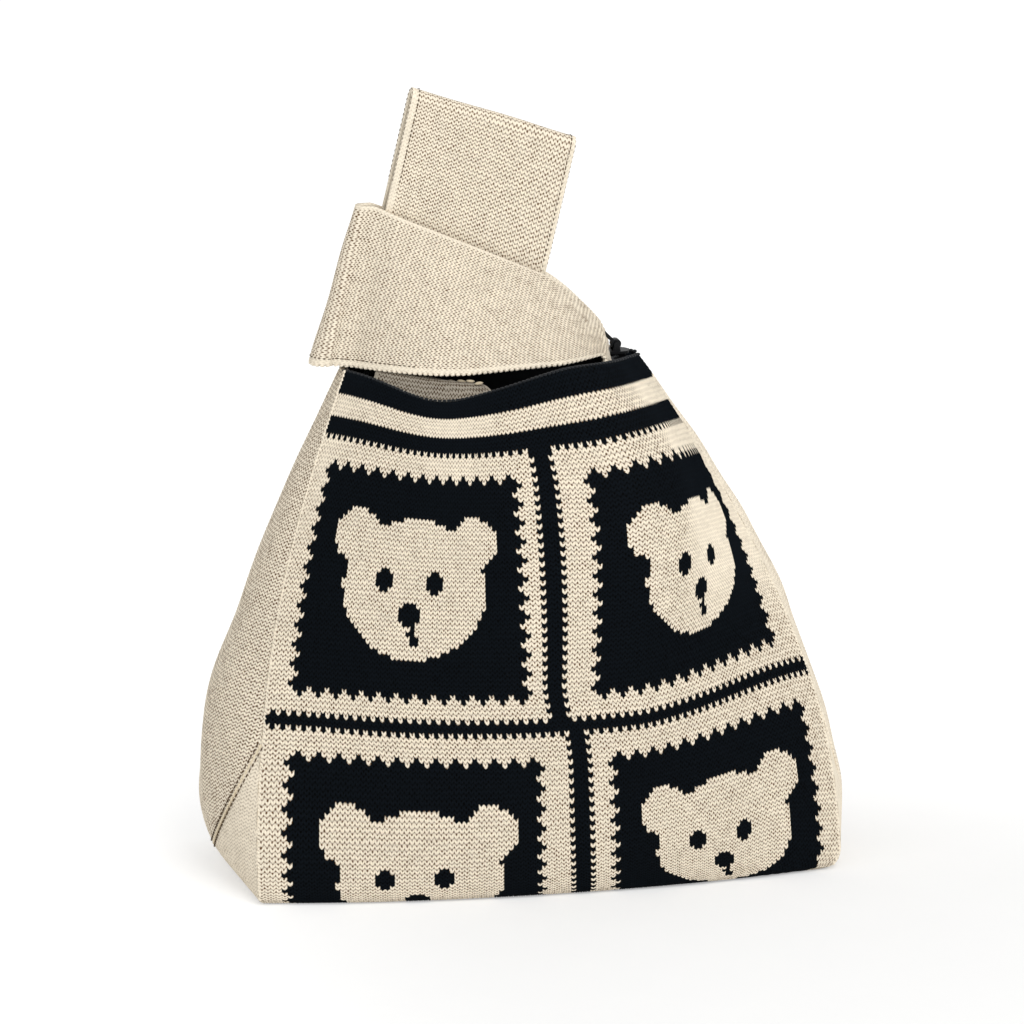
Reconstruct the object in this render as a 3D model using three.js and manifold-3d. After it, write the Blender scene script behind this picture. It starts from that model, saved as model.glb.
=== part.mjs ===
// A knitted knot bag: a soft box of two patterned panels and two gussets, with a long handle
// that is drawn through the loop of a short one, and a zip inside the mouth.
// Millimetres, X along the front, the front faces -Y, Z up, origin under the middle of the base.
import * as THREE from 'three';
import Module from 'manifold-3d';
import { mergeVertices } from 'three/addons/utils/BufferGeometryUtils.js';

// Body
const BASE_WIDTH = 260;
const BASE_DEPTH = 108;
const BASE_EDGE_RADIUS = 5;
const BODY_HEIGHT = 228;
const MOUTH_LENGTH = 133;
const MOUTH_DEPTH = 77; // front lip to back lip where the mouth is widest
const MOUTH_END_WIDTH = 9; // gusset width where it runs out at the mouth
const MOUTH_SHIFT = -14.5; // the mouth's middle leans this far along X from the base's
const LEAN_START = 68; // height from which the body leans
const LEAN_CURVE = 1.3;
const WIDTH_CURVE = 1.2; // how the ridges draw together along X
const DEPTH_CURVE = 0.9; // and along Y
const BOW_CURVE = 2.2; // how round the panels swell
const HEM_SAG = 5; // the lips hang this much lower at their middle
const SAG_CURVE = 4; // how soon that fades away below the hem
const BELLY = 16; // how far the panels swell near the base
const BELLY_RISE = 25; // height over which the swelling sets in
const GUSSET_BULGE = 14;
const GUSSET_BULGE_RISE = 12;
const GUSSET_CURVE = 1.2;
const KNIT = 2.6; // thickness of the body's double knit

// Seams
const THREAD = 0.8;
const CLEARANCE = 0.3;
const SEAM_GAP = THREAD + 2 * CLEARANCE + 0.2;
const CORNER_SEAM_RISE = 70; // the gusset's slanted seam starts at this height on the front ridge
const CORNER_SEAM_FOOT = 8; // and ends at this height on the back ridge
const BASE_SEAM_LENGTH = 236;

// Handles
const STRAP_WIDTH = 78;
const STRAP_KNIT = 2.4;
const LOOP_GAP = 4.4; // between the two layers of the long handle's loop
const LOOP_HEIGHT = 51.5; // from the fold line to the top of the loop
const FOLD_RISE = 73.7; // its fold line starts this far above the hem
const FOLD_LEFT = new THREE.Vector3(-61.4, 0, BODY_HEIGHT + FOLD_RISE); // left end of that line
const FOLD_TILT = THREE.MathUtils.degToRad(23.3); // the fold line drops this much to the right
const LOOP_LEAN = THREE.MathUtils.degToRad(9.9); // the strap's edges against square to that line
const FOLD_ROLL_RADIUS = 4.9; // soft roll where the strap bends
const LEG_FIRST = -0.85; // the long handle's legs start and end here on the lips,
const LEG_LAST = 0.05; // as a share of the mouth's half length
const LEG_TUCK = 9; // length of strap that is sewn inside the hem
const TUCK_CLEARANCE = 0.8; // round what is sewn inside the hem, whose walls slope
const LEG_ROLL_GAP = 5.2; // leg tops lie this far below the fold line
// Stages of a leg between lip and fold line, as shares: how far it has come along X, how much of
// the lip's distance from the middle plane is left, and how far it has risen.
const LEG_STAGES = [
  { come: 0.1, left: 0.66, risen: 0.05 },
  { come: 0.22, left: 0.28, risen: 0.13 },
  { come: 0.4, left: 0.085, risen: 0.28 },
  { come: 0.6, left: 0.025, risen: 0.52 },
];
const BAND_RISE = 3; // the short handle's lower edge lies this far above the hem
const BAND_WIDTH = 70; // its width at its fold
const BAND_BOTTOM_LEFT = new THREE.Vector3(-97, 10, BODY_HEIGHT + BAND_RISE); // lower corner of the fold
const BAND_TOP_LEFT = new THREE.Vector3(-85, 10, BAND_BOTTOM_LEFT.z + BAND_WIDTH); // upper corner
const BAND_RIGHT = 35; // where the short handle goes into the mouth
const BAND_ROOT_LENGTH = 11; // stretch of it that is sewn inside the hem
const BAND_TUCK = 10;
const BAND_KNEE = 1 / 3; // share of its width below which it bends into the hem
const BAND_SPREAD = 20; // half the opening of the short loop at its lower edge,
const BAND_OPENING = 0.35; // reached after this share of its length
const BAND_DROP = 0.41; // slope of its upper edge
const BAND_DROP_START = -25; // from here the upper edge curves down to the mouth
const BAND_CURVE = 0.0055;
const BAND_END_SPREAD = 7.5; // half the opening of the short loop at its upper right end

// Zip
const TAPE_WIDTH = 13;
const TAPE_THICKNESS = 0.8;
const COIL = 1.6;
const ZIP_REACH = 0.945; // ends of the chains, as a share of the mouth's half length
const TAPE_REACH = 0.88; // ends of the tapes
const ZIP_DROP = 5; // the chain lies this far under the hem,
const ZIP_RISE_END = 0.7; // apart from its right end, where it comes up by this share
const SLIDER_LENGTH = 12;
const SLIDER_WIDTH = 9;
const SLIDER_PLATE = 1.2;
const SLIDER_CORE_WIDTH = 3;
const SLIDER_THROAT = COIL + 0.8;
const SLIDER_NOSE = 4.8; // length of its rounded end
const SLIDER_CORE_LENGTH = 9.6;
const LUG_HEIGHT = 4;
const LUG_THICKNESS = 1;
const LUG_FLARE = 0.6; // its foot is this much wider on each side
const PIN = 1.2;
const PULL_LENGTH = 9;
const PULL_WIDTH = 3.6;
const PULL_THICKNESS = 1.6;
const PULL_EYE = 1.4; // wall round the pull's hole
const PULL_TILT = THREE.MathUtils.degToRad(135); // at rest the pull leans back to the left
const STOP_LENGTH = 2.4;

// Facets
const PANEL_COLUMNS = 22;
const GUSSET_COLUMNS = 6;
const WALL_LEVELS = 13;
const FOLD_LEVELS = [0, 0.3, 1]; // heights in the base's fold, as shares of its radius
const CORNER_LEVELS = 4;
const THREAD_SIDES = 6;
const STRAP_COLUMNS = 10;
const LEG_LEVELS = 18;
const BAND_COLUMNS = 16;
const BAND_LEVELS = 4;
const ROUND_STEPS = 8;

const CREAM = { color: 0xd8c9b2, roughness: 0.95, metalness: 0 };
const DARK = { color: 0x16191c, roughness: 0.95, metalness: 0 };
const THREAD_FINISH = { color: 0xcbb99a, roughness: 0.9, metalness: 0 };
const TAPE_FINISH = { color: 0x101214, roughness: 0.9, metalness: 0 };
const COIL_FINISH = { color: 0x141414, roughness: 0.5, metalness: 0 };
const ENAMEL = { color: 0x0c0d0e, roughness: 0.25, metalness: 0.4 };

const wasm = await Module();
wasm.setup();

const bag = new THREE.Group();

function addPart(name, geometry, finish, parent = bag) {
  geometry.computeVertexNormals();
  const mesh = new THREE.Mesh(geometry, new THREE.MeshStandardMaterial(finish));
  mesh.name = name;
  parent.add(mesh);
  return mesh;
}

// Solids from grids of points

function solidFrom(points, faces) {
  let volume = 0;
  for (const [a, b, c] of faces) {
    volume += points[a].dot(new THREE.Vector3().crossVectors(points[b], points[c]));
  }
  const outward = volume > 0 ? faces : faces.map(([a, b, c]) => [a, c, b]);
  const geometry = new THREE.BufferGeometry().setFromPoints(points);
  geometry.setIndex(outward.flat());
  return geometry;
}

// A thick sheet between two grids with as many rows and columns.
function sheetSolid(outer, inner) {
  const rows = outer.length;
  const columns = outer[0].length;
  const points = [...outer.flat(), ...inner.flat()];
  const faces = [];
  const outside = (row, column) => row * columns + column;
  const inside = (row, column) => rows * columns + outside(row, column);
  const quad = (a, b, c, d) => faces.push([a, b, c], [a, c, d]);
  for (let row = 0; row + 1 < rows; row += 1) {
    const next = row + 1;
    for (let column = 0; column + 1 < columns; column += 1) {
      quad(outside(row, column), outside(row, column + 1), outside(next, column + 1), outside(next, column));
      quad(inside(row, column), inside(next, column), inside(next, column + 1), inside(row, column + 1));
    }
    const last = columns - 1;
    quad(outside(row, 0), outside(row + 1, 0), inside(row + 1, 0), inside(row, 0));
    quad(outside(row, last), inside(row, last), inside(row + 1, last), outside(row + 1, last));
  }
  for (let column = 0; column + 1 < columns; column += 1) {
    const top = rows - 1;
    quad(outside(0, column), inside(0, column), inside(0, column + 1), outside(0, column + 1));
    quad(outside(top, column), outside(top, column + 1), inside(top, column + 1), inside(top, column));
  }
  return solidFrom(points, faces);
}

// A sheet of even thickness on both sides of a grid of middle points.
function strapSolid(middle, thickness) {
  const rows = middle.length;
  const columns = middle[0].length;
  const shifted = (side) => middle.map((line, row) => line.map((point, column) => {
    const before = middle[row][Math.max(column - 1, 0)];
    const after = middle[row][Math.min(column + 1, columns - 1)];
    const below = middle[Math.max(row - 1, 0)][column];
    const above = middle[Math.min(row + 1, rows - 1)][column];
    const across = new THREE.Vector3().subVectors(after, before);
    const along = new THREE.Vector3().subVectors(above, below);
    const normal = across.cross(along).normalize();
    return point.clone().addScaledVector(normal, side * thickness / 2);
  }));
  return sheetSolid(shifted(1), shifted(-1));
}

// A round thread through a list of points, with flat ends.
function threadSolid(path, diameter, sides = THREAD_SIDES) {
  const points = [];
  const faces = [];
  const guide = new THREE.Vector3(0, 1, 0.01).normalize();
  path.forEach((point, i) => {
    const before = path[Math.max(i - 1, 0)];
    const after = path[Math.min(i + 1, path.length - 1)];
    const along = new THREE.Vector3().subVectors(after, before).normalize();
    const first = new THREE.Vector3().crossVectors(along, guide).normalize();
    const second = new THREE.Vector3().crossVectors(along, first);
    for (let k = 0; k < sides; k += 1) {
      const angle = 2 * Math.PI * k / sides;
      points.push(point.clone()
        .addScaledVector(first, Math.cos(angle) * diameter / 2)
        .addScaledVector(second, Math.sin(angle) * diameter / 2));
    }
  });
  const at = (ring, k) => ring * sides + (k % sides);
  for (let ring = 0; ring + 1 < path.length; ring += 1) {
    for (let k = 0; k < sides; k += 1) {
      faces.push([at(ring, k), at(ring, k + 1), at(ring + 1, k + 1)]);
      faces.push([at(ring, k), at(ring + 1, k + 1), at(ring + 1, k)]);
    }
  }
  const end = path.length - 1;
  for (let k = 1; k + 1 < sides; k += 1) {
    faces.push([at(0, 0), at(0, k + 1), at(0, k)]);
    faces.push([at(end, 0), at(end, k), at(end, k + 1)]);
  }
  return solidFrom(points, faces);
}

const steps = (count) => Array.from({ length: count + 1 }, (_, i) => i / count);

// Body shape

const share = (z) => Math.min(Math.max(z / BODY_HEIGHT, 0), 1);

// The base's edge is a soft fold of a quarter circle.
function edgeInset(z) {
  const rise = Math.min(z, BASE_EDGE_RADIUS);
  return BASE_EDGE_RADIUS - Math.sqrt(BASE_EDGE_RADIUS ** 2 - (BASE_EDGE_RADIUS - rise) ** 2);
}

function middleX(z) {
  const climbed = Math.max(z - LEAN_START, 0) / (BODY_HEIGHT - LEAN_START);
  return MOUTH_SHIFT * climbed ** LEAN_CURVE;
}

// Half the width between the two front ridges.
function ridgeX(z) {
  const narrowing = Math.cos(Math.PI / 2 * share(z) ** WIDTH_CURVE);
  return MOUTH_LENGTH / 2 + (BASE_WIDTH - MOUTH_LENGTH) / 2 * narrowing - edgeInset(z);
}

// Half the depth between a front and a back ridge.
function ridgeY(z) {
  const narrowing = (1 - share(z)) ** DEPTH_CURVE;
  return MOUTH_END_WIDTH / 2 + (BASE_DEPTH - MOUTH_END_WIDTH) / 2 * narrowing - edgeInset(z);
}

// How far a panel's middle stands out beyond its ridges.
function panelBulge(z) {
  const low = BELLY * (1 - Math.exp(-z / BELLY_RISE));
  return low + ((MOUTH_DEPTH - MOUTH_END_WIDTH) / 2 - BELLY) * share(z);
}

function gussetBulge(z) {
  return GUSSET_BULGE * (1 - Math.exp(-z / GUSSET_BULGE_RISE)) * (1 - share(z) ** 2) ** GUSSET_CURVE;
}

const bow = (u) => 1 - Math.abs(u) ** BOW_CURVE;
const hemTop = (u) => BODY_HEIGHT - HEM_SAG * bow(u) ** 2;

// The section at one height, counter-clockwise from the left front ridge, with its four corners.
const FRONT_LEFT = 0;
const FRONT_RIGHT = PANEL_COLUMNS;
const BACK_RIGHT = FRONT_RIGHT + GUSSET_COLUMNS;
const BACK_LEFT = BACK_RIGHT + PANEL_COLUMNS;
const SECTION_SIZE = BACK_LEFT + GUSSET_COLUMNS;

function sectionPoint(index, z) {
  const middle = middleX(z);
  const x = ridgeX(z);
  const y = ridgeY(z);
  if (index <= FRONT_RIGHT) {
    const u = 2 * index / PANEL_COLUMNS - 1;
    return new THREE.Vector2(middle + u * x, -y - panelBulge(z) * bow(u));
  }
  if (index <= BACK_RIGHT) {
    const v = 2 * (index - FRONT_RIGHT) / GUSSET_COLUMNS - 1;
    return new THREE.Vector2(middle + x + gussetBulge(z) * (1 - v * v), v * y);
  }
  if (index <= BACK_LEFT) {
    const u = 1 - 2 * (index - BACK_RIGHT) / PANEL_COLUMNS;
    return new THREE.Vector2(middle + u * x, y + panelBulge(z) * bow(u));
  }
  const v = 1 - 2 * (index - BACK_LEFT) / GUSSET_COLUMNS;
  return new THREE.Vector2(middle - x - gussetBulge(z) * (1 - v * v), v * y);
}

const wrap = (index) => (index + SECTION_SIZE) % SECTION_SIZE;

// The section's point and the same point moved inwards by a depth, square to both neighbours.
function mitred(index, z, depth) {
  const point = sectionPoint(wrap(index), z);
  const before = sectionPoint(wrap(index - 1), z).sub(point).normalize();
  const after = sectionPoint(wrap(index + 1), z).sub(point).normalize();
  const left = new THREE.Vector2(before.y, -before.x);
  const right = new THREE.Vector2(-after.y, after.x);
  const inward = left.add(right).normalize();
  const reach = depth / inward.dot(right);
  return { point, inner: point.clone().addScaledVector(inward, reach), inward, before, after };
}

// A wall's outer and inner point, drawn back from a ridge by half the seam's gap at a panel's end.
function wallPair(index, z, first, last, depth = KNIT) {
  const { point, inner, inward, before, after } = mitred(index, z, depth);
  const retreat = new THREE.Vector2();
  if (index === first || index === last) {
    const along = index === first ? after : before;
    const slant = Math.sqrt(1 - along.dot(inward) ** 2);
    retreat.copy(along).multiplyScalar(SEAM_GAP / 2 / slant);
  }
  return [point.add(retreat), inner.add(retreat)];
}

const lift = (flat, z) => new THREE.Vector3(flat.x, flat.y, z);

// Levels of the walls, close together at the base's fold.
const levels = FOLD_LEVELS.map((part) => part * BASE_EDGE_RADIUS);
for (const part of steps(WALL_LEVELS).slice(1)) {
  levels.push(BASE_EDGE_RADIUS + (BODY_HEIGHT - BASE_EDGE_RADIUS) * part);
}
const sagged = (z, u) => z - (BODY_HEIGHT - hemTop(u)) * share(z) ** SAG_CURVE;

// Front and back panels: half of the base, the fold and the wall up to the hem, in one piece.
function panelSolid(first, last, side) {
  const outer = [];
  const inner = [];
  const columns = [];
  for (let index = first; index <= last; index += 1) {
    columns.push(index);
  }
  const along = (index) => 2 * (index - first) / (last - first) - 1;
  const baseEnd = ridgeX(0) - KNIT - CLEARANCE;
  const baseRow = (y, z) => columns.map((index) => (
    new THREE.Vector3(-side * along(index) * baseEnd, side * y, z)));
  const foldStart = ridgeY(0) - KNIT;
  outer.push(baseRow(SEAM_GAP / 2, 0), baseRow(foldStart, 0));
  inner.push(baseRow(SEAM_GAP / 2, KNIT), baseRow(foldStart - BASE_EDGE_RADIUS, KNIT));
  for (const level of levels) {
    outer.push(columns.map((index) => {
      const z = sagged(level, along(index));
      return lift(wallPair(index, z, first, last)[0], z);
    }));
    inner.push(columns.map((index) => {
      const z = sagged(level, along(index));
      const onBase = level < KNIT;
      const height = onBase ? KNIT : z;
      const depth = onBase ? KNIT + BASE_EDGE_RADIUS - level : KNIT;
      return lift(wallPair(index, height, first, last, depth)[1], height);
    }));
  }
  return sheetSolid(outer, inner);
}

addPart('front_panel', panelSolid(FRONT_LEFT, FRONT_RIGHT, -1), DARK);
addPart('back_panel', panelSolid(BACK_RIGHT, BACK_LEFT, 1), DARK);

// Gussets, each in two pieces that a slanted seam joins.
const SEAM_SLANT = Math.hypot(1, (CORNER_SEAM_RISE - CORNER_SEAM_FOOT) / BASE_DEPTH);
const cornerSeam = (v) => CORNER_SEAM_FOOT + (CORNER_SEAM_RISE - CORNER_SEAM_FOOT) * (1 - v) / 2;

// A gusset's outer and inner point, its columns spread evenly between the drawn-back ends.
function gussetPair(index, z, first) {
  const last = first + GUSSET_COLUMNS;
  const v = gussetShare(index, first);
  const ends = wallPair(first, z, first, last);
  return wallPair(index, z, first, last).map((point, face) => point.setY(v * Math.abs(ends[face].y)));
}

function gussetShare(index, first) {
  const along = 2 * (index - first) / GUSSET_COLUMNS - 1;
  return first === FRONT_RIGHT ? along : -along;
}

function gussetSolid(first, heights) {
  const outer = [];
  const inner = [];
  for (const height of heights) {
    const outerRow = [];
    const innerRow = [];
    for (let index = first; index <= first + GUSSET_COLUMNS; index += 1) {
      const z = height(gussetShare(index, first));
      const [outside, inside] = gussetPair(index, z, first);
      outerRow.push(lift(outside, z));
      innerRow.push(lift(inside, z));
    }
    outer.push(outerRow);
    inner.push(innerRow);
  }
  return sheetSolid(outer, inner);
}

const halfSeam = SEAM_GAP / 2 * SEAM_SLANT;
for (const [side, first] of [['right', FRONT_RIGHT], ['left', BACK_LEFT]]) {
  const upper = steps(WALL_LEVELS).map((part) => (v) => (
    THREE.MathUtils.lerp(cornerSeam(v) + halfSeam, BODY_HEIGHT, part)));
  const lower = steps(CORNER_LEVELS).map((part) => (v) => (
    THREE.MathUtils.lerp(BASE_EDGE_RADIUS, cornerSeam(v) - halfSeam, part)));
  const fold = levels.filter((z) => z < BASE_EDGE_RADIUS).map((z) => () => z);
  addPart(`${side}_gusset`, gussetSolid(first, upper), CREAM);
  addPart(`${side}_gusset_corner`, gussetSolid(first, [...fold, ...lower]), CREAM);
}

// Seam threads lie in the gaps between the pieces that they join.
function midWall(index, z) {
  const { point, inner } = mitred(index, z, KNIT);
  return lift(point.add(inner).multiplyScalar(0.5), z);
}

function ridgeThread(index) {
  const heights = levels.filter((z) => z >= BASE_EDGE_RADIUS);
  return threadSolid(heights.map((z) => midWall(index, z)), THREAD);
}

addPart('left_front_seam', ridgeThread(FRONT_LEFT), THREAD_FINISH);
addPart('right_front_seam', ridgeThread(FRONT_RIGHT), THREAD_FINISH);
addPart('right_back_seam', ridgeThread(BACK_RIGHT), THREAD_FINISH);
addPart('left_back_seam', ridgeThread(BACK_LEFT), THREAD_FINISH);

for (const [side, first] of [['right', FRONT_RIGHT], ['left', BACK_LEFT]]) {
  const path = [];
  for (let index = first + 1; index < first + GUSSET_COLUMNS; index += 1) {
    const z = cornerSeam(gussetShare(index, first));
    const [outside, inside] = gussetPair(index, z, first);
    path.push(lift(outside.add(inside).multiplyScalar(0.5), z));
  }
  addPart(`${side}_corner_seam`, threadSolid(path, THREAD), THREAD_FINISH);
}

const baseSeam = steps(2).map((part) => (
  new THREE.Vector3((part - 0.5) * BASE_SEAM_LENGTH, 0, KNIT / 2)));
addPart('base_seam', threadSolid(baseSeam, THREAD), THREAD_FINISH);

// A point inside a panel: u runs along it from -1 to 1, side is -1 at the front and 1 at the back.
function behindPanel(side, u, z, depth) {
  const x = ridgeX(z);
  const nudge = 0.001;
  const edge = (w) => new THREE.Vector2(middleX(z) + w * x, -ridgeY(z) - panelBulge(z) * bow(w));
  const along = edge(u + nudge).sub(edge(u - nudge)).normalize();
  const point = edge(u).add(new THREE.Vector2(-along.y, along.x).multiplyScalar(depth));
  return new THREE.Vector3(point.x, side * -point.y, z);
}

// Long handle: two legs from inside the lips up through the short loop, then the loop itself.
const foldAlong = new THREE.Vector3(Math.cos(FOLD_TILT), 0, -Math.sin(FOLD_TILT));
const foldUp = new THREE.Vector3(Math.sin(FOLD_TILT), 0, Math.cos(FOLD_TILT));
const strapUp = foldUp.clone().addScaledVector(foldAlong, -Math.tan(LOOP_LEAN));
const SLOT_DEPTH = KNIT + TUCK_CLEARANCE + STRAP_KNIT / 2;
const LAYER_Y = (LOOP_GAP + STRAP_KNIT) / 2;

function legPath(side, s) {
  const u = THREE.MathUtils.lerp(LEG_FIRST, LEG_LAST, s);
  const lip = hemTop(u);
  const foot = behindPanel(side, u, lip - LEG_TUCK, SLOT_DEPTH);
  const edge = behindPanel(side, u, lip, SLOT_DEPTH);
  const top = FOLD_LEFT.clone().addScaledVector(foldAlong, s * STRAP_WIDTH)
    .addScaledVector(strapUp, -LEG_ROLL_GAP);
  top.y = side * LAYER_Y;
  const stages = LEG_STAGES.map(({ come, left, risen }) => new THREE.Vector3(
    THREE.MathUtils.lerp(edge.x, top.x, come),
    THREE.MathUtils.lerp(top.y, edge.y, left),
    THREE.MathUtils.lerp(lip, top.z, risen),
  ));
  const route = [foot, edge, ...stages, top];
  return new THREE.CatmullRomCurve3(route, false, 'centripetal').getPoints(LEG_LEVELS);
}

for (const [name, side] of [['front', -1], ['back', 1]]) {
  const grid = steps(STRAP_COLUMNS).map((s) => legPath(side, s));
  addPart(`long_handle_${name}_leg`, strapSolid(grid, STRAP_KNIT), CREAM);
}

// The loop's section: a roll at the fold line, two layers and the fold at the top.
function loopSolid() {
  const half = LOOP_GAP / 2 + STRAP_KNIT;
  const rollTop = Math.sqrt(FOLD_ROLL_RADIUS ** 2 - half ** 2);
  const rollAngle = Math.atan2(rollTop, half);
  const topCentre = LOOP_HEIGHT - half;
  const outline = new THREE.Shape();
  outline.absarc(0, 0, FOLD_ROLL_RADIUS, Math.PI - rollAngle, 2 * Math.PI + rollAngle, false);
  outline.absarc(0, topCentre, half, 0, Math.PI, false);
  const gap = new THREE.Path();
  gap.moveTo(-LOOP_GAP / 2, FOLD_ROLL_RADIUS);
  gap.lineTo(LOOP_GAP / 2, FOLD_ROLL_RADIUS);
  gap.absarc(0, topCentre, LOOP_GAP / 2, 0, Math.PI, false);
  outline.holes.push(gap);
  const geometry = new THREE.ExtrudeGeometry(outline, {
    depth: STRAP_WIDTH, steps: 6, bevelEnabled: false, curveSegments: ROUND_STEPS,
  });
  const across = new THREE.Vector3(0, 1, 0);
  const frame = new THREE.Matrix4().makeBasis(across, strapUp, foldAlong);
  geometry.applyMatrix4(frame.setPosition(FOLD_LEFT));
  return geometry;
}

const loop = mergeVertices(loopSolid().deleteAttribute('normal').deleteAttribute('uv'));
addPart('long_handle_loop', loop, CREAM);

// Short handle: a flat loop laid to the left round the long handle, with both ends in the mouth.
function bandEdges(side, part) {
  const top = BAND_TOP_LEFT.clone();
  const bottom = BAND_BOTTOM_LEFT.clone();
  top.x = THREE.MathUtils.lerp(top.x + top.y, BAND_RIGHT, part);
  bottom.x = THREE.MathUtils.lerp(bottom.x + bottom.y, BAND_RIGHT, part);
  const past = Math.max(top.x - BAND_DROP_START, 0);
  top.z -= BAND_DROP * (top.x - BAND_TOP_LEFT.x - BAND_TOP_LEFT.y) + BAND_CURVE * past ** 2;
  top.y = THREE.MathUtils.lerp(top.y, BAND_END_SPREAD, part);
  bottom.y = THREE.MathUtils.lerp(bottom.y, BAND_SPREAD, THREE.MathUtils.smoothstep(part, 0, BAND_OPENING));
  top.y *= side;
  bottom.y *= side;
  const knee = bottom.clone().lerp(top, BAND_KNEE);
  const rootStart = BAND_RIGHT - BAND_ROOT_LENGTH;
  const settling = rootStart - BAND_ROOT_LENGTH;
  const settled = THREE.MathUtils.smoothstep(bottom.x, settling - BAND_ROOT_LENGTH, settling);
  const tucked = THREE.MathUtils.smoothstep(bottom.x, settling, rootStart);
  const u = (bottom.x - MOUTH_SHIFT) / (MOUTH_LENGTH / 2);
  const inHem = (height) => behindPanel(side, u, hemTop(u) + height, SLOT_DEPTH);
  const lip = bottom.clone().lerp(knee, 0.5);
  bottom.lerp(inHem(BAND_RISE), settled).lerp(inHem(-BAND_TUCK), tucked);
  lip.lerp(inHem(1.5 * BAND_RISE), settled).lerp(inHem(0), tucked);
  knee.lerp(inHem(2 * BAND_RISE), settled);
  return [bottom, lip, knee, top];
}

function bandSolid() {
  const lines = [];
  const runs = steps(BAND_COLUMNS).slice(1);
  const line = ([bottom, lip, knee, top]) => [
    bottom, lip, ...steps(BAND_LEVELS).map((q) => knee.clone().lerp(top, q)),
  ];
  for (const part of [...runs].reverse()) {
    lines.push(line(bandEdges(-1, part)));
  }
  // Half a turn round the fold at the left.
  for (const turn of steps(ROUND_STEPS)) {
    const angle = Math.PI * turn;
    const corner = (start) => new THREE.Vector3(
      start.x - start.y * Math.sin(angle), -start.y * Math.cos(angle), start.z);
    const inset = new THREE.Vector3(BAND_TOP_LEFT.y, 0, 0);
    const bottom = corner(BAND_BOTTOM_LEFT).add(inset);
    const top = corner(BAND_TOP_LEFT).add(inset);
    const between = (q) => bottom.clone().lerp(top, q);
    lines.push(line([bottom, between(BAND_KNEE / 2), between(BAND_KNEE), top]));
  }
  for (const part of runs) {
    lines.push(line(bandEdges(1, part)));
  }
  return strapSolid(lines, STRAP_KNIT);
}

addPart('short_handle', bandSolid(), CREAM);

// Zip: a tape inside each lip with a coil along its upper edge.
const TAPE_DEPTH = SLOT_DEPTH + STRAP_KNIT / 2 + TUCK_CLEARANCE;
const COIL_DEPTH = TAPE_DEPTH + TAPE_THICKNESS + CLEARANCE + COIL / 2;
const zipLevel = (u) => hemTop(u) - ZIP_DROP * (1 - THREE.MathUtils.smoothstep(u, 0, ZIP_RISE_END));
const zipShares = (reach) => steps(PANEL_COLUMNS).map((part) => reach * (2 * part - 1));

for (const [name, side] of [['front', -1], ['back', 1]]) {
  const face = (depth) => steps(2).map((part) => zipShares(TAPE_REACH).map((u) => (
    behindPanel(side, u, zipLevel(u) + COIL / 2 - (1 - part) * TAPE_WIDTH, depth))));
  addPart(`zip_tape_${name}`, sheetSolid(face(TAPE_DEPTH), face(TAPE_DEPTH + TAPE_THICKNESS)), TAPE_FINISH);
  const chain = zipShares(ZIP_REACH).map((u) => behindPanel(side, u, zipLevel(u), COIL_DEPTH));
  addPart(`zip_coil_${name}`, threadSolid(chain, COIL), COIL_FINISH);
  const stop = new THREE.BoxGeometry(STOP_LENGTH, STOP_LENGTH, STOP_LENGTH);
  stop.translate(chain[0].x - CLEARANCE - STOP_LENGTH, chain[0].y, chain[0].z);
  addPart(`zip_stop_${name}`, mergeVertices(stop.deleteAttribute('normal').deleteAttribute('uv')), ENAMEL);
}

// Booleans on closed geometries.
function toManifold(geometry) {
  const bare = geometry.clone().deleteAttribute('normal').deleteAttribute('uv');
  const merged = mergeVertices(bare.index ? bare.toNonIndexed() : bare);
  return new wasm.Manifold(new wasm.Mesh({
    numProp: 3,
    vertProperties: new Float32Array(merged.attributes.position.array),
    triVerts: new Uint32Array(merged.index.array),
  }));
}

function fromManifold(solid) {
  const mesh = solid.getMesh();
  const geometry = new THREE.BufferGeometry();
  geometry.setAttribute('position', new THREE.BufferAttribute(mesh.vertProperties, 3));
  geometry.setIndex(new THREE.BufferAttribute(mesh.triVerts, 1));
  return geometry;
}

// Slider: two shield-shaped plates on a core, with the chains in the grooves at its sides,
// and two lugs with a pin for the pull.
function shieldSolid(length, width, nose, thickness, z) {
  const outline = new THREE.Shape();
  outline.moveTo(-length / 2, -width / 2);
  outline.lineTo(length / 2 - nose, -width / 2);
  outline.quadraticCurveTo(length / 2, -width / 2, length / 2, 0);
  outline.quadraticCurveTo(length / 2, width / 2, length / 2 - nose, width / 2);
  outline.lineTo(-length / 2, width / 2);
  outline.closePath();
  const solid = new THREE.ExtrudeGeometry(outline, {
    depth: thickness, bevelEnabled: false, curveSegments: ROUND_STEPS,
  });
  return solid.translate(0, 0, z);
}

const pinHeight = SLIDER_THROAT / 2 + SLIDER_PLATE + LUG_HEIGHT - PIN;
const lugY = PULL_WIDTH / 2 + CLEARANCE;

function lugSolid(side) {
  const outline = new THREE.Shape();
  outline.moveTo(-PIN - LUG_FLARE, 0);
  outline.lineTo(PIN + LUG_FLARE, 0);
  outline.lineTo(PIN, LUG_HEIGHT + SLIDER_PLATE / 2 - PIN);
  outline.absarc(0, LUG_HEIGHT + SLIDER_PLATE / 2 - PIN, PIN, 0, Math.PI, false);
  const solid = new THREE.ExtrudeGeometry(outline, {
    depth: LUG_THICKNESS, bevelEnabled: false, curveSegments: ROUND_STEPS,
  });
  solid.rotateX(Math.PI / 2);
  return solid.translate(0, side > 0 ? lugY + LUG_THICKNESS : -lugY, SLIDER_THROAT / 2 + SLIDER_PLATE / 2);
}

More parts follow.
